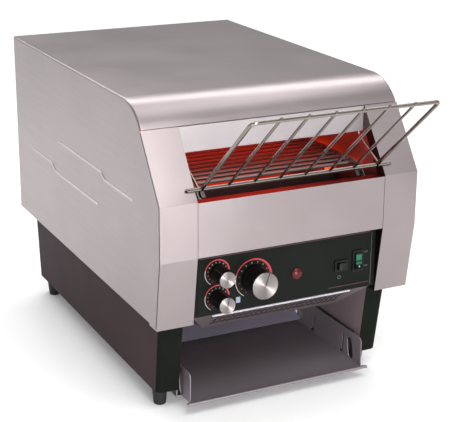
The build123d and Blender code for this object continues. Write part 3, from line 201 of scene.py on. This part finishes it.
def sheet_metal(name, color, roughness, grain, cloud=9.0, streak=900.0, metallic=1.0):
    """Sheet steel with a satin grain, faint clouds and patches that hands and cloths have wiped."""
    material = make_material(name, color, roughness, metallic=metallic)
    if grain == "folded":
        streaks = folded_grain(material, streak)
    else:
        stretch = [1.0, 1.0, 1.0]
        stretch["xyz".index(grain)] = GRAIN
        streaks = add_noise(material, streak, GRAIN_DETAIL, stretch)
    clouds = add_noise(material, cloud, detail=3.0)
    rough_with(material, roughness, fine=streaks, fine_reach=0.035, broad=clouds, broad_reach=0.015)
    bump_with(material, streaks, depth=0.00002, strength=0.14)
    shade_with(material, clouds, scaled(color, 0.95), scaled(color, 1.04))
    return material


def painted(name, color, roughness, grain_size=700.0, depth=0.00004, **sockets):
    """Paint or moulded plastic with a fine grain and slight unevenness of shade."""
    material = make_material(name, color, roughness, **sockets)
    grain = add_noise(material, grain_size, detail=3.0)
    clouds = add_noise(material, scale=14.0, detail=2.0)
    bump_with(material, grain, depth, strength=0.35)
    rough_with(
        material, roughness,
        fine=grain, fine_reach=roughness * 0.1, broad=clouds, broad_reach=roughness * 0.08,
    )
    shade_with(material, clouds, scaled(color, 0.88), scaled(color, 1.1))
    return material


STAINLESS = linear(152, 142, 143)
mats = {
    "stainless": sheet_metal("satin_stainless", STAINLESS, 0.34, "x"),
    "stainless_folded": sheet_metal("satin_stainless_folded", STAINLESS, 0.34, "folded"),
    # near-white strip: a painted highlight along the grille's front edge
    "strip": sheet_metal("strip_painted_highlight", linear(240, 236, 246), 0.34, "x", metallic=0.25),
    "baffle": sheet_metal("baffle_steel", linear(170, 163, 165), 0.46, "x", metallic=0.85),
    "inner": sheet_metal("mill_steel", linear(176, 172, 172), 0.36, "x", cloud=14.0),
    "liner": sheet_metal("heat_tinted_liner", linear(150, 132, 128), 0.42, "y", cloud=18.0),
    "chute": sheet_metal("chute_steel", linear(150, 142, 160), 0.46, "x", cloud=12.0, metallic=0.45),
    "tray": sheet_metal("tray_steel", linear(136, 127, 132), 0.42, "x", cloud=16.0, metallic=0.45),
    "chrome": sheet_metal("chrome_wire", linear(142, 134, 128), 0.16, "x", cloud=60.0, streak=300.0),
    "belt": sheet_metal("belt_wire", linear(128, 118, 114), 0.36, "x", cloud=30.0, metallic=0.8),
    "zinc": sheet_metal("zinc_plate", linear(186, 188, 190), 0.34, "y", cloud=40.0),
    "chain": sheet_metal("oiled_steel", linear(96, 92, 92), 0.36, "y", cloud=60.0),
    "bronze": sheet_metal("bearing_bronze", linear(168, 132, 84), 0.34, "x", cloud=50.0),
    "grille": sheet_metal("grille_steel", linear(62, 56, 58), 0.42, "x", cloud=20.0, metallic=0.6),
    "panel": painted("panel_black", linear(14, 18, 14), 0.42, depth=0.00001, Specular_IOR_Level=0.1),
    "base": painted("base_paint", linear(24, 26, 23), 0.46, Specular_IOR_Level=0.02),
    "plastic": painted("black_plastic", linear(12, 12, 12), 0.34, Specular_IOR_Level=0.22),
    "rubber": painted("foot_rubber", linear(15, 15, 15), 0.62, grain_size=450.0, depth=0.0001),
    "motor": painted("motor_paint", linear(72, 78, 84), 0.45),
    "ceramic": painted("ceramic", linear(226, 220, 206), 0.6),
    "terminal": painted("terminal_plastic", linear(208, 200, 182), 0.5),
    "rocker": painted("rocker_black", linear(11, 12, 12), 0.28, depth=0.00001, Specular_IOR_Level=0.25),
    "print_red": painted("print_red", linear(176, 36, 54), 0.45, depth=0.00001),
    "print_dark_red": painted("print_dark_red", linear(66, 20, 26), 0.45, depth=0.00001),
    "print_white": painted("print_white", linear(168, 164, 160), 0.45, depth=0.00001),
    "print_grey": painted("print_grey", linear(84, 82, 80), 0.45, depth=0.00001),
    "print_lilac": painted("print_lilac", linear(132, 132, 152), 0.45, depth=0.00001),
}


def two_tone(material, mask, shade):
    """Another colour where the mask is 1, over the colour that the material already has."""
    base_color = surface(material, "Base Color")
    blend = add_node(material, "ShaderNodeMixRGB", Color2=shade)
    join(material, mask, blend.inputs["Fac"])
    join(material, base_color.links[0].from_socket, blend.inputs["Color1"])
    join(material, blend.outputs["Color"], base_color)


def where(material, space, axis, operation, level, both_ways=False):
    """Mask from one axis of the object's own Object or Normal coordinates."""
    value = coordinates(material, space)[axis]
    if both_ways:
        value = calculate(material, "ABSOLUTE", value, 0.0)
    return calculate(material, operation, value, level)


INNER_REACH = 0.05  # metres from the plane x = 0 beyond which a face that looks at it is an inner one


def inner_skin_and_shade(material, shade):
    """Another colour on the faces that look towards the middle plane x = 0; the base takes it as its bare
    inner skin, the trims as painted shade.
    """
    spot = coordinates(material, "Object")["X"]
    facing = coordinates(material, "Normal")["X"]
    outward = calculate(material, "MULTIPLY", spot, facing)
    two_tone(material, calculate(material, "LESS_THAN", outward, -INNER_REACH), shade)


SQUARE_ON = 0.95  # facing value of a flat side, which leaves out its rounded edges
# lighter, browner colour on the base's flat sides: partly a browner paint, partly painted light where the
# sides catch the light
base_side_paint_and_light = where(mats["base"], "Normal", "X", "GREATER_THAN", SQUARE_ON, both_ways=True)
two_tone(mats["base"], base_side_paint_and_light, linear(64, 51, 54))
inner_skin_and_shade(mats["base"], linear(122, 108, 112))

BEAD_HEIGHT = 0.65 * MM  # of the raised lines on the hood's sides, less the foot of their flanks
bead_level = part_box("hood")[1].x - BEAD_HEIGHT
# painted highlight along the tops of the raised lines on the hood's sides
bead_highlight = where(mats["stainless_folded"], "Object", "X", "GREATER_THAN", bead_level, both_ways=True)
two_tone(mats["stainless_folded"], bead_highlight, linear(178, 169, 169))

mats["trim"] = sheet_metal("satin_stainless_trim", STAINLESS, 0.34, "x")
# painted shade on the trims' faces that look inwards, into the recesses between them
inner_skin_and_shade(mats["trim"], linear(62, 54, 53))
mats["panel_lip"] = sheet_metal("satin_stainless_shaded_lip", STAINLESS, 0.34, "x")
lip_shade = where(mats["panel_lip"], "Normal", "Z", "GREATER_THAN", MOSTLY)  # painted shade on the upward faces, which lie in shadow under the hood
two_tone(mats["panel_lip"], lip_shade, linear(30, 26, 25))

SLOPE_DROP, SLOPE_RUN = 36.0, 39.0  # millimetres, of the intake grille's front
SLOPE = math.atan2(SLOPE_DROP, SLOPE_RUN)
ON_SLOPE, ON_SLOT_WALL = 0.9, 0.2  # facing values: more than this on the slope, less in its slots


def grille_tones(material):
    """A lighter face along the grille's slope, and painted shade, nearly black, on the walls of its slots."""
    place = add_node(material, "ShaderNodeTexCoord")
    facing = add_node(material, "ShaderNodeVectorMath")
    facing.operation = "DOT_PRODUCT"
    facing.inputs[1].default_value = (0, -math.sin(SLOPE), -math.cos(SLOPE))
    join(material, place.outputs["Normal"], facing.inputs[0])
    square = calculate(material, "ABSOLUTE", facing.outputs["Value"], 0.0)
    two_tone(material, calculate(material, "GREATER_THAN", square, ON_SLOPE), linear(112, 102, 104))
    # painted shade in the slots
    two_tone(material, calculate(material, "LESS_THAN", square, ON_SLOT_WALL), linear(4, 4, 4))


grille_tones(mats["grille"])

STRIP_SHADE_DROP = 2.7 * MM  # below the body's edge, from where on down the strip gets painted shade
# painted shade on the strip's lower part, leaving a narrow painted highlight above
strip_shade = where(mats["strip"], "Object", "Z", "LESS_THAN", BODY_Z - STRIP_SHADE_DROP)
two_tone(mats["strip"], strip_shade, linear(62, 56, 56))


def hot_element(name, cool, hot, strength):
    """Element sheath at working heat, brighter where it is hotter."""
    material = make_material(name, linear(110, 34, 24), 0.5, Emission_Strength=strength)
    heat = add_noise(material, scale=12.0, detail=2.0)
    shade_with(material, heat, cool, hot, low=NOISE_LOW, high=NOISE_HIGH, socket="Emission Color")
    return material


mats["upper_glow"] = hot_element("hot_element_upper", linear(255, 30, 16), linear(255, 66, 30), 6.0)
mats["lower_glow"] = hot_element("hot_element_lower", linear(226, 34, 20), linear(255, 76, 38), 3.0)


def moulded_lens(name, color, glow_color, glow):
    """Clear coloured plastic over a dim lamp, with the ribs of a moulded lens."""
    material = make_material(
        name, color, 0.3, Specular_IOR_Level=0.3, Emission_Color=glow_color, Emission_Strength=glow,
    )
    ribs = add_noise(material, scale=520.0, detail=1.0, stretch=(1, 1, 0.2))
    bump_with(material, ribs, depth=0.0001, strength=0.3)
    shade_with(material, ribs, scaled(color, 0.7), scaled(color, 1.2))
    return material


mats["red_lens"] = moulded_lens("red_lens", linear(72, 14, 11), linear(120, 12, 6), 0.08)
mats["green_lens"] = moulded_lens("green_lens", linear(24, 92, 60), linear(30, 130, 84), 0.12)

NODE_MATERIALS = {
    "stainless": ["rear_panel"],
    "trim": ["front_trim_left", "front_trim_right"],
    "panel_lip": ["front_panel"],
    "stainless_folded": ["hood"],
    "strip": ["grille_strip"],
    "baffle": ["upper_baffle"],
    "inner": [
        "chassis_deck", "side_frame_left", "side_frame_right", "heat_shield", "tray_rails",
        "belt_support", "element_rests",
    ],
    "liner": ["upper_reflector", "lower_reflector"],
    "chute": ["chute"],
    "tray": ["collector_tray"],
    "chrome": ["feed_rack"],
    "belt": ["conveyor_belt"],
    "zinc": [
        "speed_spindle", "top_heat_spindle", "bottom_heat_spindle", "foot_bolts",
        "rear_panel_screws", "drive_shaft", "idler_shaft", "motor_shaft",
    ],
    "chain": ["drive_sprockets", "idler_sprockets", "driven_sprocket", "motor_sprocket", "drive_chain"],
    "bronze": ["shaft_bearings"],
    "panel": ["control_panel", "dial_plate"],
    "base": ["base_shell"],
    "grille": ["intake_grille"],
    "plastic": [
        "speed_knob", "top_heat_knob", "bottom_heat_knob", "speed_control", "heat_controls",
        "power_switch", "standby_switch", "cord_gland", "fan_frame", "fan_impeller",
    ],
    "rocker": ["power_rocker", "standby_rocker"],
    "rubber": ["foot_front_left", "foot_front_right", "foot_rear_left", "foot_rear_right"],
    "motor": ["gear_motor"],
    "upper_glow": ["upper_elements"],
    "lower_glow": ["lower_elements"],
    "ceramic": ["element_bushes"],
    "terminal": ["terminal_block"],
    "red_lens": ["pilot_lamp"],
}
for finish, node_names in NODE_MATERIALS.items():
    for node_name in node_names:
        slots = NODES[node_name].data.materials
        slots.clear()
        slots.append(mats[finish])


# ---- pieces made here --------------------------------------------------------------


def place_piece(name, mesh, material, body, place=(0, 0, 0)):
    """An object of the mesh that rides on a body."""
    mesh.materials.clear()
    mesh.materials.append(material)
    piece = bpy.data.objects.new(name, mesh)
    piece.location = place
    scene.collection.objects.link(piece)
    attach(piece, body)


def new_piece(name, verts, faces, material, body):
    """A piece from its corners in metres and its faces."""
    mesh = bpy.data.meshes.new(name)
    mesh.from_pydata([tuple(v) for v in verts], [], faces)
    mesh.validate()
    mesh.update()
    place_piece(name, mesh, material, body)
    return mesh


PRINT_THICKNESS = 0.12  # millimetres


def flat_shape(name, outline, ink):
    """Ink on the dial plate inside (x, z) points in millimetres, anticlockwise from the front."""
    count = len(outline)
    back = [on_plate(x, z) for x, z in outline]
    front = [on_plate(x, z, PRINT_THICKNESS) for x, z in outline]
    faces = [tuple(range(count, 2 * count)), tuple(reversed(range(count)))]
    faces += [(i, (i + 1) % count, (i + 1) % count + count, i + count) for i in range(count)]
    new_piece(name, back + front, faces, mats[ink], "chassis")


DIAL_START, DIAL_END = -122.0, -354.0  # degrees, anticlockwise from +x seen from the front
RED_SHARE = 0.32  # of the scale, after which its line and dashes change colour
HAIRLINE, HAIRLINE_END = 0.6, 0.9  # millimetres: the line's width where it starts and where it turns red
DASHES = 11
DASH_NEAR, DASH_FAR, DASH_HALF = 2.8, 1.0, 0.35  # millimetres inside the line, and half the width
ARC_STEPS = 48


def ribbon(name, center, radius, start, end, width_start, width_end, ink):
    """Arc on the dial plate whose width changes evenly from its start to its end, inwards."""
    outer, inner = [], []
    for step in range(ARC_STEPS + 1):
        share = step / ARC_STEPS
        angle = math.radians(start + (end - start) * share)
        width = width_start + (width_end - width_start) * share
        outer.append((center[0] + radius * math.cos(angle), center[1] + radius * math.sin(angle)))
        inside = radius - width
        inner.append((center[0] + inside * math.cos(angle), center[1] + inside * math.sin(angle)))
    verts = [on_plate(x, z, PRINT_THICKNESS) for x, z in outer + inner]
    verts += [on_plate(x, z) for x, z in outer + inner]
    count = ARC_STEPS + 1
    faces = []
    for i in range(ARC_STEPS):
        faces.append((i, i + 1, count + i + 1, count + i))
        faces.append((2 * count + i, i + 2 * count + 1, i + 1, i))
        faces.append((3 * count + i, count + i, count + i + 1, 3 * count + i + 1))
    new_piece(name, verts, faces, mats[ink], "chassis")


def dial_scale(name, center, radius, width):
    """Scale round a dial: a white hairline that turns into a red wedge, with dashes inside."""
    turn_red = DIAL_START + RED_SHARE * (DIAL_END - DIAL_START)
    ribbon(f"{name}_scale_low", center, radius, DIAL_START, turn_red, HAIRLINE, HAIRLINE_END, "print_white")
    ribbon(f"{name}_scale_high", center, radius, turn_red, DIAL_END, HAIRLINE_END, width, "print_red")
    for number in range(DASHES):
        angle = DIAL_START + (DIAL_END - DIAL_START) * number / (DASHES - 1)
        turn = math.radians(angle)
        along = Vector((math.cos(turn), math.sin(turn)))
        sideways = Vector((-along.y, along.x)) * DASH_HALF
        far = Vector(center) + along * (radius - width - DASH_FAR)
        near = Vector(center) + along * (radius - width - DASH_NEAR)
        corners = [far + sideways, near + sideways, near - sideways, far - sideways]
        ink = "print_red" if angle > turn_red else "print_white"
        flat_shape(f"{name}_dash_{number}", corners, ink)


def center_on_plate(node):
    """Middle of a knob or switch as (x, height above the body's lower edge) in millimetres."""
    place = middle(node)
    return (place.x / MM, (place.z - BODY_Z) / MM)


# centre, radius of the scale's line, width of its red end, and the pointer's angle at rest in degrees
DIALS = {
    "speed": (center_on_plate("speed_knob"), 26.5, 3.4, 71.3),
    "top_heat": (center_on_plate("top_heat_knob"), 17.6, 2.4, 130.0),
    "bottom_heat": (center_on_plate("bottom_heat_knob"), 17.6, 2.4, 78.0),
}
for dial, (dial_at, dial_radius, dial_width, _) in DIALS.items():
    dial_scale(dial, dial_at, dial_radius, dial_width)


def spun_aluminium(name):
    """Turned face: fine rings, and highlights that fan out from the centre."""
    material = make_material(
        name, linear(150, 144, 142), 0.4, metallic=1.0, Anisotropic=1.0, Anisotropic_Rotation=0.25,
    )
    tangent = add_node(material, "ShaderNodeTangent")
    tangent.direction_type = "RADIAL"
    tangent.axis = "Y"
    join(material, tangent.outputs["Tangent"], surface(material, "Tangent"))
    place = add_node(material, "ShaderNodeTexCoord")
    rings = add_node(material, "ShaderNodeTexWave", Scale=420.0, Distortion=0.6)
    rings.wave_type = "RINGS"
    rings.rings_direction = "Y"
    join(material, place.outputs["Object"], rings.inputs["Vector"])
    bump_with(material, rings.outputs["Fac"], depth=0.00001, strength=0.3)
    return material


spun = spun_aluminium("spun_aluminium")

TURNED_SEGMENTS = 64
SHARP_EDGE = math.radians(30)


def lathe(name, profile, center, material, body):
    """Turned piece about a line along y: profile holds (radius, y) in millimetres, rim to centre."""
    mesh = bpy.data.meshes.new(name)
    shape = bmesh.new()
    rings = []
    for radius, y in profile:
        if radius == 0:
            rings.append([shape.verts.new((0, y * MM, 0))])
            continue
        ring = []
        for number in range(TURNED_SEGMENTS):
            turn = 2 * math.pi * number / TURNED_SEGMENTS
            ring.append(shape.verts.new((radius * MM * math.cos(turn), y * MM, radius * MM * math.sin(turn))))
        rings.append(ring)
    for outer, inner in zip(rings, rings[1:]):
        for number in range(TURNED_SEGMENTS):
            after = (number + 1) % TURNED_SEGMENTS
            if len(inner) == 1:
                shape.faces.new((outer[number], outer[after], inner[0]))
            else:
                shape.faces.new((outer[number], outer[after], inner[after], inner[number]))
    shape.normal_update()
    bmesh.ops.recalc_face_normals(shape, faces=shape.faces)
    shape.to_mesh(mesh)
    shape.free()
    mesh.shade_smooth()
    mesh.set_sharp_from_angle(angle=SHARP_EDGE)
    place_piece(name, mesh, material, body, center)


# faces of a block whose corners are listed by three loops over two values each
BLOCK_FACES = [(0, 2, 3, 1), (4, 5, 7, 6), (0, 1, 5, 4), (2, 6, 7, 3), (0, 4, 6, 2), (1, 3, 7, 5)]

# on a knob, in millimetres
CAP_INSET = 0.5  # between the rims of the cap and of the knob
CAP_RIM = [(0.0, 0.3), (0.0, -0.35), (0.45, -0.75), (1.1, -0.78)]  # in from the cap's rim, and y
CAP_MIDDLE = [(0.5, -0.62), (0.0, -0.62)]  # radius, and y from the knob's face
POINTER_DEPTHS = (-0.85, -0.55)  # behind the knob's face
POINTER_LEAST = 0.1  # half its width, apart from its share of the radius
SIDE_LINE_START = 1.2  # behind the knob's face
SIDE_LINE_SINK, SIDE_LINE_RISE = 0.6, 0.08  # in and out of the knob's side
# and as shares
POINTER_REACH = (0.04, 0.93)  # of the knob's radius
POINTER_SHARE = 0.022  # half its width, of the knob's radius
SIDE_LINE_LENGTH = 0.82  # of the knob's length
SIDE_LINE_WIDTH = 0.6  # of the pointer's width


def knob_line(name, center, along, depths, reaches, half_width, material, body):
    """Straight line on a knob: from one depth to the other along y, and between two radii."""
    aside = Vector((-along.z, 0, along.x)) * half_width * MM
    verts = []
    for depth in depths:
        for reach in reaches:
            for sign in (-1, 1):
                verts.append(center + (Vector((0, depth, 0)) + along * reach) * MM + aside * sign)
    new_piece(name, verts, BLOCK_FACES, material, body)


def knob_face(dial, at, pointer_angle):
    """Spun cap on a knob's face with a dark pointer line, and a grey line down the knob's side."""
    low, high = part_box(f"{dial}_knob")
    body = f"{dial}_dial"
    radius = (high.x - low.x) / 2 / MM
    length = (high.y - low.y) / MM
    center = Vector((at[0] * MM, low.y, BODY_Z + at[1] * MM))
    rim = radius - CAP_INSET
    profile = [(rim - inward, y) for inward, y in CAP_RIM] + CAP_MIDDLE
    lathe(f"{dial}_knob_cap", profile, center, spun, body)
    turn = math.radians(pointer_angle)
    along = Vector((math.cos(turn), 0, math.sin(turn)))
    half_width = POINTER_SHARE * radius + POINTER_LEAST
    knob_line(
        f"{dial}_pointer", center, along, POINTER_DEPTHS, [share * radius for share in POINTER_REACH],
        half_width, mats["plastic"], body,
    )
    knob_line(
        f"{dial}_side_line", center, along, (SIDE_LINE_START, SIDE_LINE_LENGTH * length),
        (radius - SIDE_LINE_SINK, radius + SIDE_LINE_RISE),
        SIDE_LINE_WIDTH * half_width, mats["print_grey"], body,
    )


for dial, (dial_at, _, _, dial_pointer) in DIALS.items():
    knob_face(dial, dial_at, dial_pointer)


# ---- prints on the dial plate --------------------------------------------------------


def bar(name, low, high, ink):
    """Rectangle of ink between two (x, z) corners."""
    outline = [(low[0], low[1]), (high[0], low[1]), (high[0], high[1]), (low[0], high[1])]
    flat_shape(name, outline, ink)


# millimetres on the dial plate: heights are above the body's lower edge, insets from the plate's ends
PLATE_LEFT, PLATE_RIGHT = plate_low.x / MM, plate_high.x / MM
TOP_STRIPE = (82.0, 83.0)
TOP_STRIPE_INSETS = (2.0, 4.0)
LOW_STRIPE = (11.7, 12.8)
LOW_STRIPE_START, LOW_STRIPE_INSET = 62.8, 3.5
EDGE_LINE = (8.0, 82.0)
EDGE_INSET, EDGE_WIDTH = 1.4, 0.5
TAG_CORNERS = ((-73.9, 15.6), (-67.8, 23.4))
bar(
    "top_pinstripe", (PLATE_LEFT + TOP_STRIPE_INSETS[0], TOP_STRIPE[0]),
    (PLATE_RIGHT - TOP_STRIPE_INSETS[1], TOP_STRIPE[1]), "print_dark_red",
)
bar(
    "low_pinstripe", (LOW_STRIPE_START, LOW_STRIPE[0]),
    (PLATE_RIGHT - LOW_STRIPE_INSET, LOW_STRIPE[1]), "print_dark_red",
)
bar(
    "edge_line", (PLATE_RIGHT - EDGE_INSET, EDGE_LINE[0]),
    (PLATE_RIGHT - EDGE_INSET + EDGE_WIDTH, EDGE_LINE[1]), "print_grey",
)
bar("speed_tag", *TAG_CORNERS, "print_lilac")

LETTER_HEIGHT = 2.3  # millimetres, of the capitals
CAPITAL_SHARE = 0.7  # of a font's size
LETTER_INK = "print_grey"


def lettering(name, words, center):
    """Generic switch lettering on the dial plate."""
    curve = bpy.data.curves.new(name, "FONT")
    curve.body = words
    curve.size = LETTER_HEIGHT * MM / CAPITAL_SHARE
    curve.extrude = PRINT_THICKNESS / 2 * MM
    curve.align_x = "CENTER"
    curve.align_y = "CENTER"
    holder = bpy.data.objects.new(name, curve)
    scene.collection.objects.link(holder)
    mesh = bpy.data.meshes.new_from_object(holder)
    bpy.data.objects.remove(holder)
    upright = Matrix.Rotation(math.pi / 2, 4, "X")
    mesh.transform(Matrix.Translation(on_plate(*center, PRINT_THICKNESS / 2)) @ upright)
    place_piece(name, mesh, mats[LETTER_INK], "chassis")


power_at = Vector(center_on_plate("power_switch"))
standby_at = Vector(center_on_plate("standby_switch"))
ON_FROM_SWITCH, OFF_FROM_SWITCH = Vector((13.0, 10.5)), Vector((13.0, -9.0))
lettering("mark_on", "ON", power_at + ON_FROM_SWITCH)
lettering("mark_off", "OFF", power_at + OFF_FROM_SWITCH)

RING_FROM_SWITCH = Vector((-2.0, -16.0))
RING_RADIUS, RING_WIDTH = 2.6, 0.6
RING_START, RING_END = 60.0, -240.0  # degrees, open at the top
STROKE_LOW, STROKE_HIGH = 0.4, 3.4  # above the ring's centre
ring_at = standby_at + RING_FROM_SWITCH
ribbon("standby_ring", ring_at, RING_RADIUS, RING_START, RING_END, RING_WIDTH, RING_WIDTH, "print_grey")
stroke_low = ring_at + Vector((-RING_WIDTH / 2, STROKE_LOW))
stroke_high = ring_at + Vector((RING_WIDTH / 2, STROKE_HIGH))
bar("standby_stroke", stroke_low, stroke_high, "print_grey")


# ---- windows and mark on the power rocker: millimetres, along the rocker and out of it ----
ROCKER_TILT = math.radians(8.0)
ROCKER_HALF = 10.85
ROCKER_VALLEY, ROCKER_CREST = 3.7, 5.2  # its face over its pivot, in the middle and at the ends
ROCKER_SINK = 0.1  # of a window or mark in the face
WINDOW_HALF, WINDOW_BEVEL = 4.1, 0.3
MARK_AT, MARK_RADIUS, MARK_CORNERS = -7.4, 1.1, 16
MARK_THICKNESS, MARK_BEVEL = 0.15, 0.05


def on_rocker(along, across, lift):
    """Point over the rocker's valley-shaped face."""
    rise = ROCKER_VALLEY + abs(along) * (ROCKER_CREST - ROCKER_VALLEY) / ROCKER_HALF + lift
    up = along * math.cos(ROCKER_TILT) + rise * math.sin(ROCKER_TILT)
    out = rise * math.cos(ROCKER_TILT) - along * math.sin(ROCKER_TILT)
    return on_plate(power_at[0] + across, power_at[1] + up, out)


def rocker_piece(name, outline, thickness, bevel, material):
    """Raised plate on the rocker from (along, across) points, sunk in a little, with a bevelled rim."""
    count = len(outline)
    middle_along = sum(point[0] for point in outline) / count
    middle_across = sum(point[1] for point in outline) / count
    rings = []
    for lift, inset in ((-ROCKER_SINK, 0.0), (thickness - bevel, 0.0), (thickness, bevel)):
        ring = []
        for along, across in outline:
            pull_along = math.copysign(inset, middle_along - along) if inset else 0.0
            pull_across = math.copysign(inset, middle_across - across) if inset else 0.0
            ring.append(on_rocker(along + pull_along, across + pull_across, lift))
        rings.append(ring)
    verts = [point for ring in rings for point in ring]
    faces = [tuple(range(2 * count, 3 * count)), tuple(reversed(range(count)))]
    for level in range(2):
        for i in range(count):
            after = (i + 1) % count
            low_row, high_row = level * count, (level + 1) * count
            faces.append((low_row + i, low_row + after, high_row + after, high_row + i))
    mesh = new_piece(name, verts, faces, material, "power_button")
    shape = bmesh.new()
    shape.from_mesh(mesh)
    bmesh.ops.recalc_face_normals(shape, faces=shape.faces)
    shape.to_mesh(mesh)
    shape.free()


def rocker_window(name, low, high, thickness):
    """Green window across the rocker, between two places along it."""
    outline = [(low, -WINDOW_HALF), (low, WINDOW_HALF), (high, WINDOW_HALF), (high, -WINDOW_HALF)]
    rocker_piece(name, outline, thickness, WINDOW_BEVEL, mats["green_lens"])


rocker_window("power_window", low=0.9, high=8.9, thickness=0.55)
rocker_window("power_window_low", low=-4.6, high=-0.9, thickness=0.45)
mark_turns = [2 * math.pi * number / MARK_CORNERS for number in range(MARK_CORNERS)]
mark = [(MARK_AT + MARK_RADIUS * math.sin(turn), MARK_RADIUS * math.cos(turn)) for turn in mark_turns]
rocker_piece("power_off_mark", mark, MARK_THICKNESS, MARK_BEVEL, mats["print_white"])


# ---- dark sheet behind the intake grille's slots, painted shade seen through them: millimetres ----
SLOPE_FRONT, SLOPE_TOP = 17.0, 6.0  # the slope's upper edge, behind the front face and above the body's edge
SHADE_SHEET_DEPTHS = (1.0, 1.3)  # behind the slope
SHADE_SHEET_RUN = (5.0, 50.0)  # down the slope
SHADE_SHEET_HALF = 99.0
shade_sheet_verts = []
for depth in SHADE_SHEET_DEPTHS:
    for along in SHADE_SHEET_RUN:
        for side in (-1, 1):
            back = SLOPE_FRONT + along * math.cos(SLOPE) + depth * math.sin(SLOPE)
            up = SLOPE_TOP - along * math.sin(SLOPE) + depth * math.cos(SLOPE)
            shade_sheet_verts.append((side * SHADE_SHEET_HALF * MM, FRONT_Y + back * MM, BODY_Z + up * MM))
shade_sheet_faces = [tuple(reversed(face)) for face in BLOCK_FACES]
# a black sheet that stands in for the shade inside the slots
new_piece("grille_shade_sheet", shade_sheet_verts, shade_sheet_faces, mats["plastic"], "chassis")


# ---- camera, light and ground ------------------------------------------------------
CAMERA_PLACE = Vector((-0.749185, -1.311506, 0.633191))  # from the front face and the body's lower edge
CAMERA_TURN, CAMERA_TILT, CAMERA_ROLL = 26.4269, 18.3849, 0.4232  # degrees: rightwards, down, anticlockwise
LEVEL = 90.0  # turns a new camera, which looks down, to look at the horizon
FOCAL_LENGTH, SENSOR_WIDTH = 101.17, 36.0  # millimetres

camera = bpy.data.objects.new("camera", bpy.data.cameras.new("camera"))
camera.data.lens = FOCAL_LENGTH
camera.data.sensor_width = SENSOR_WIDTH
camera.matrix_world = (
    Matrix.Translation(CAMERA_PLACE + Vector((0, FRONT_Y, BODY_Z)))
    @ Matrix.Rotation(math.radians(-CAMERA_TURN), 4, "Z")
    @ Matrix.Rotation(math.radians(LEVEL - CAMERA_TILT), 4, "X")
    @ Matrix.Rotation(math.radians(CAMERA_ROLL), 4, "Z")
)
scene.collection.objects.link(camera)
scene.camera = camera


def area_light(name, place, target, size, power):
    """Soft rectangular lamp aimed at a point: its width and height, and its power in watts."""
    lamp = bpy.data.lights.new(name, "AREA")
    lamp.shape = "RECTANGLE"
    lamp.size, lamp.size_y = size
    lamp.energy = power
    holder = bpy.data.objects.new(name, lamp)
    holder.location = place
    holder.rotation_euler = (Vector(target) - Vector(place)).to_track_quat("-Z", "Y").to_euler()
    holder.visible_camera = False
    scene.collection.objects.link(holder)


area_light("upper_front_softbox", (-0.08, -1.05, 1.40), (-0.1, -0.2, 0.38), (0.8, 0.65), 11)
area_light("overhead_softbox", (0.5, 0.05, 1.8), (-0.05, -0.2, 0.4), (0.7, 0.8), 3)
area_light("front_softbox", (-0.17, -1.35, 0.28), (-0.1, -0.28, 0.25), (0.45, 0.4), 11.5)
area_light("right_softbox", (1.0, -1.0, 1.4), (0.1, -0.25, 0.38), (0.4, 0.4), 0.6)
area_light("back_strip", (0.55, 0.85, 1.5), (-0.08, -0.1, 0.4), (1.5, 0.35), 9)
area_light("top_softbox", (-0.2, 0.95, 1.5), (-0.15, -0.25, 0.42), (0.4, 0.5), 7)
area_light("left_softbox", (-0.65, 1.35, 1.05), (-0.18, -0.05, 0.4), (0.4, 0.5), 4)
area_light("left_front_softbox", (-1.1, -1.15, 0.22), (-0.05, -0.23, 0.19), (0.1, 0.3), 2.5)

# height in the sky and colour there, a little bluer than grey
WALLS = (0.1, (0.34, 0.34, 0.3468, 1))
CEILING = (0.85, (0.72, 0.72, 0.7272, 1))


def studio_world():
    """Walls and a brighter ceiling, as a background that goes by height alone."""
    world = bpy.data.worlds.new("studio")
    world.use_nodes = True
    nodes, links = world.node_tree.nodes, world.node_tree.links
    place = nodes.new("ShaderNodeTexCoord")
    height = nodes.new("ShaderNodeSeparateXYZ")
    ramp = nodes.new("ShaderNodeValToRGB")
    for stop, (level, color) in zip(ramp.color_ramp.elements, (WALLS, CEILING)):
        stop.position = level
        stop.color = color
    links.new(place.outputs["Generated"], height.inputs[0])
    links.new(height.outputs["Z"], ramp.inputs["Fac"])
    links.new(ramp.outputs["Color"], nodes["Background"].inputs["Color"])
    return world


scene.world = studio_world()

NEAR_LIFT, FAR_LIFT = 0.11, 0.5  # light that the floor gives by itself, near the object and far from it
NEAR, FAR = 0.6, 1.8  # metres from the middle of the floor
FLOOR_GREY = 0.86
FLOOR_REACH = 14.0


def floor_finish():
    """Pale floor that takes the object's shadow; seen directly or in metal it is lifted to white.

    The lift grows away from the object, where the lamps no longer reach the floor.
    """
    material = make_material(
        "floor_white", (FLOOR_GREY, FLOOR_GREY, FLOOR_GREY, 1), roughness=0.85,
        Specular_IOR_Level=0.0, Emission_Color=(1, 1, 1, 1),
    )
    rays = add_node(material, "ShaderNodeLightPath")
    seen = calculate(material, "ADD", rays.outputs["Is Camera Ray"], rays.outputs["Is Glossy Ray"])
    seen = calculate(material, "ADD", seen, rays.outputs["Is Transmission Ray"])
    place = add_node(material, "ShaderNodeTexCoord")
    distance = add_node(material, "ShaderNodeVectorMath")
    distance.operation = "LENGTH"
    join(material, place.outputs["Object"], distance.inputs[0])
    lift = add_node(
        material, "ShaderNodeMapRange", From_Min=NEAR, From_Max=FAR, To_Min=NEAR_LIFT, To_Max=FAR_LIFT,
    )
    join(material, distance.outputs["Value"], lift.inputs["Value"])
    strength = calculate(material, "MULTIPLY", seen, lift.outputs["Result"])
    join(material, strength, surface(material, "Emission Strength"))
    return material


floor_mesh = bpy.data.meshes.new("floor")
floor_mesh.from_pydata(
    [(x * FLOOR_REACH, y * FLOOR_REACH, 0) for x, y in ((-1, -1), (1, -1), (1, 1), (-1, 1))],
    [], [(0, 1, 2, 3)],
)
floor = bpy.data.objects.new("floor", floor_mesh)
floor_mesh.materials.append(floor_finish())
scene.collection.objects.link(floor)

scene.view_settings.view_transform = "Standard"
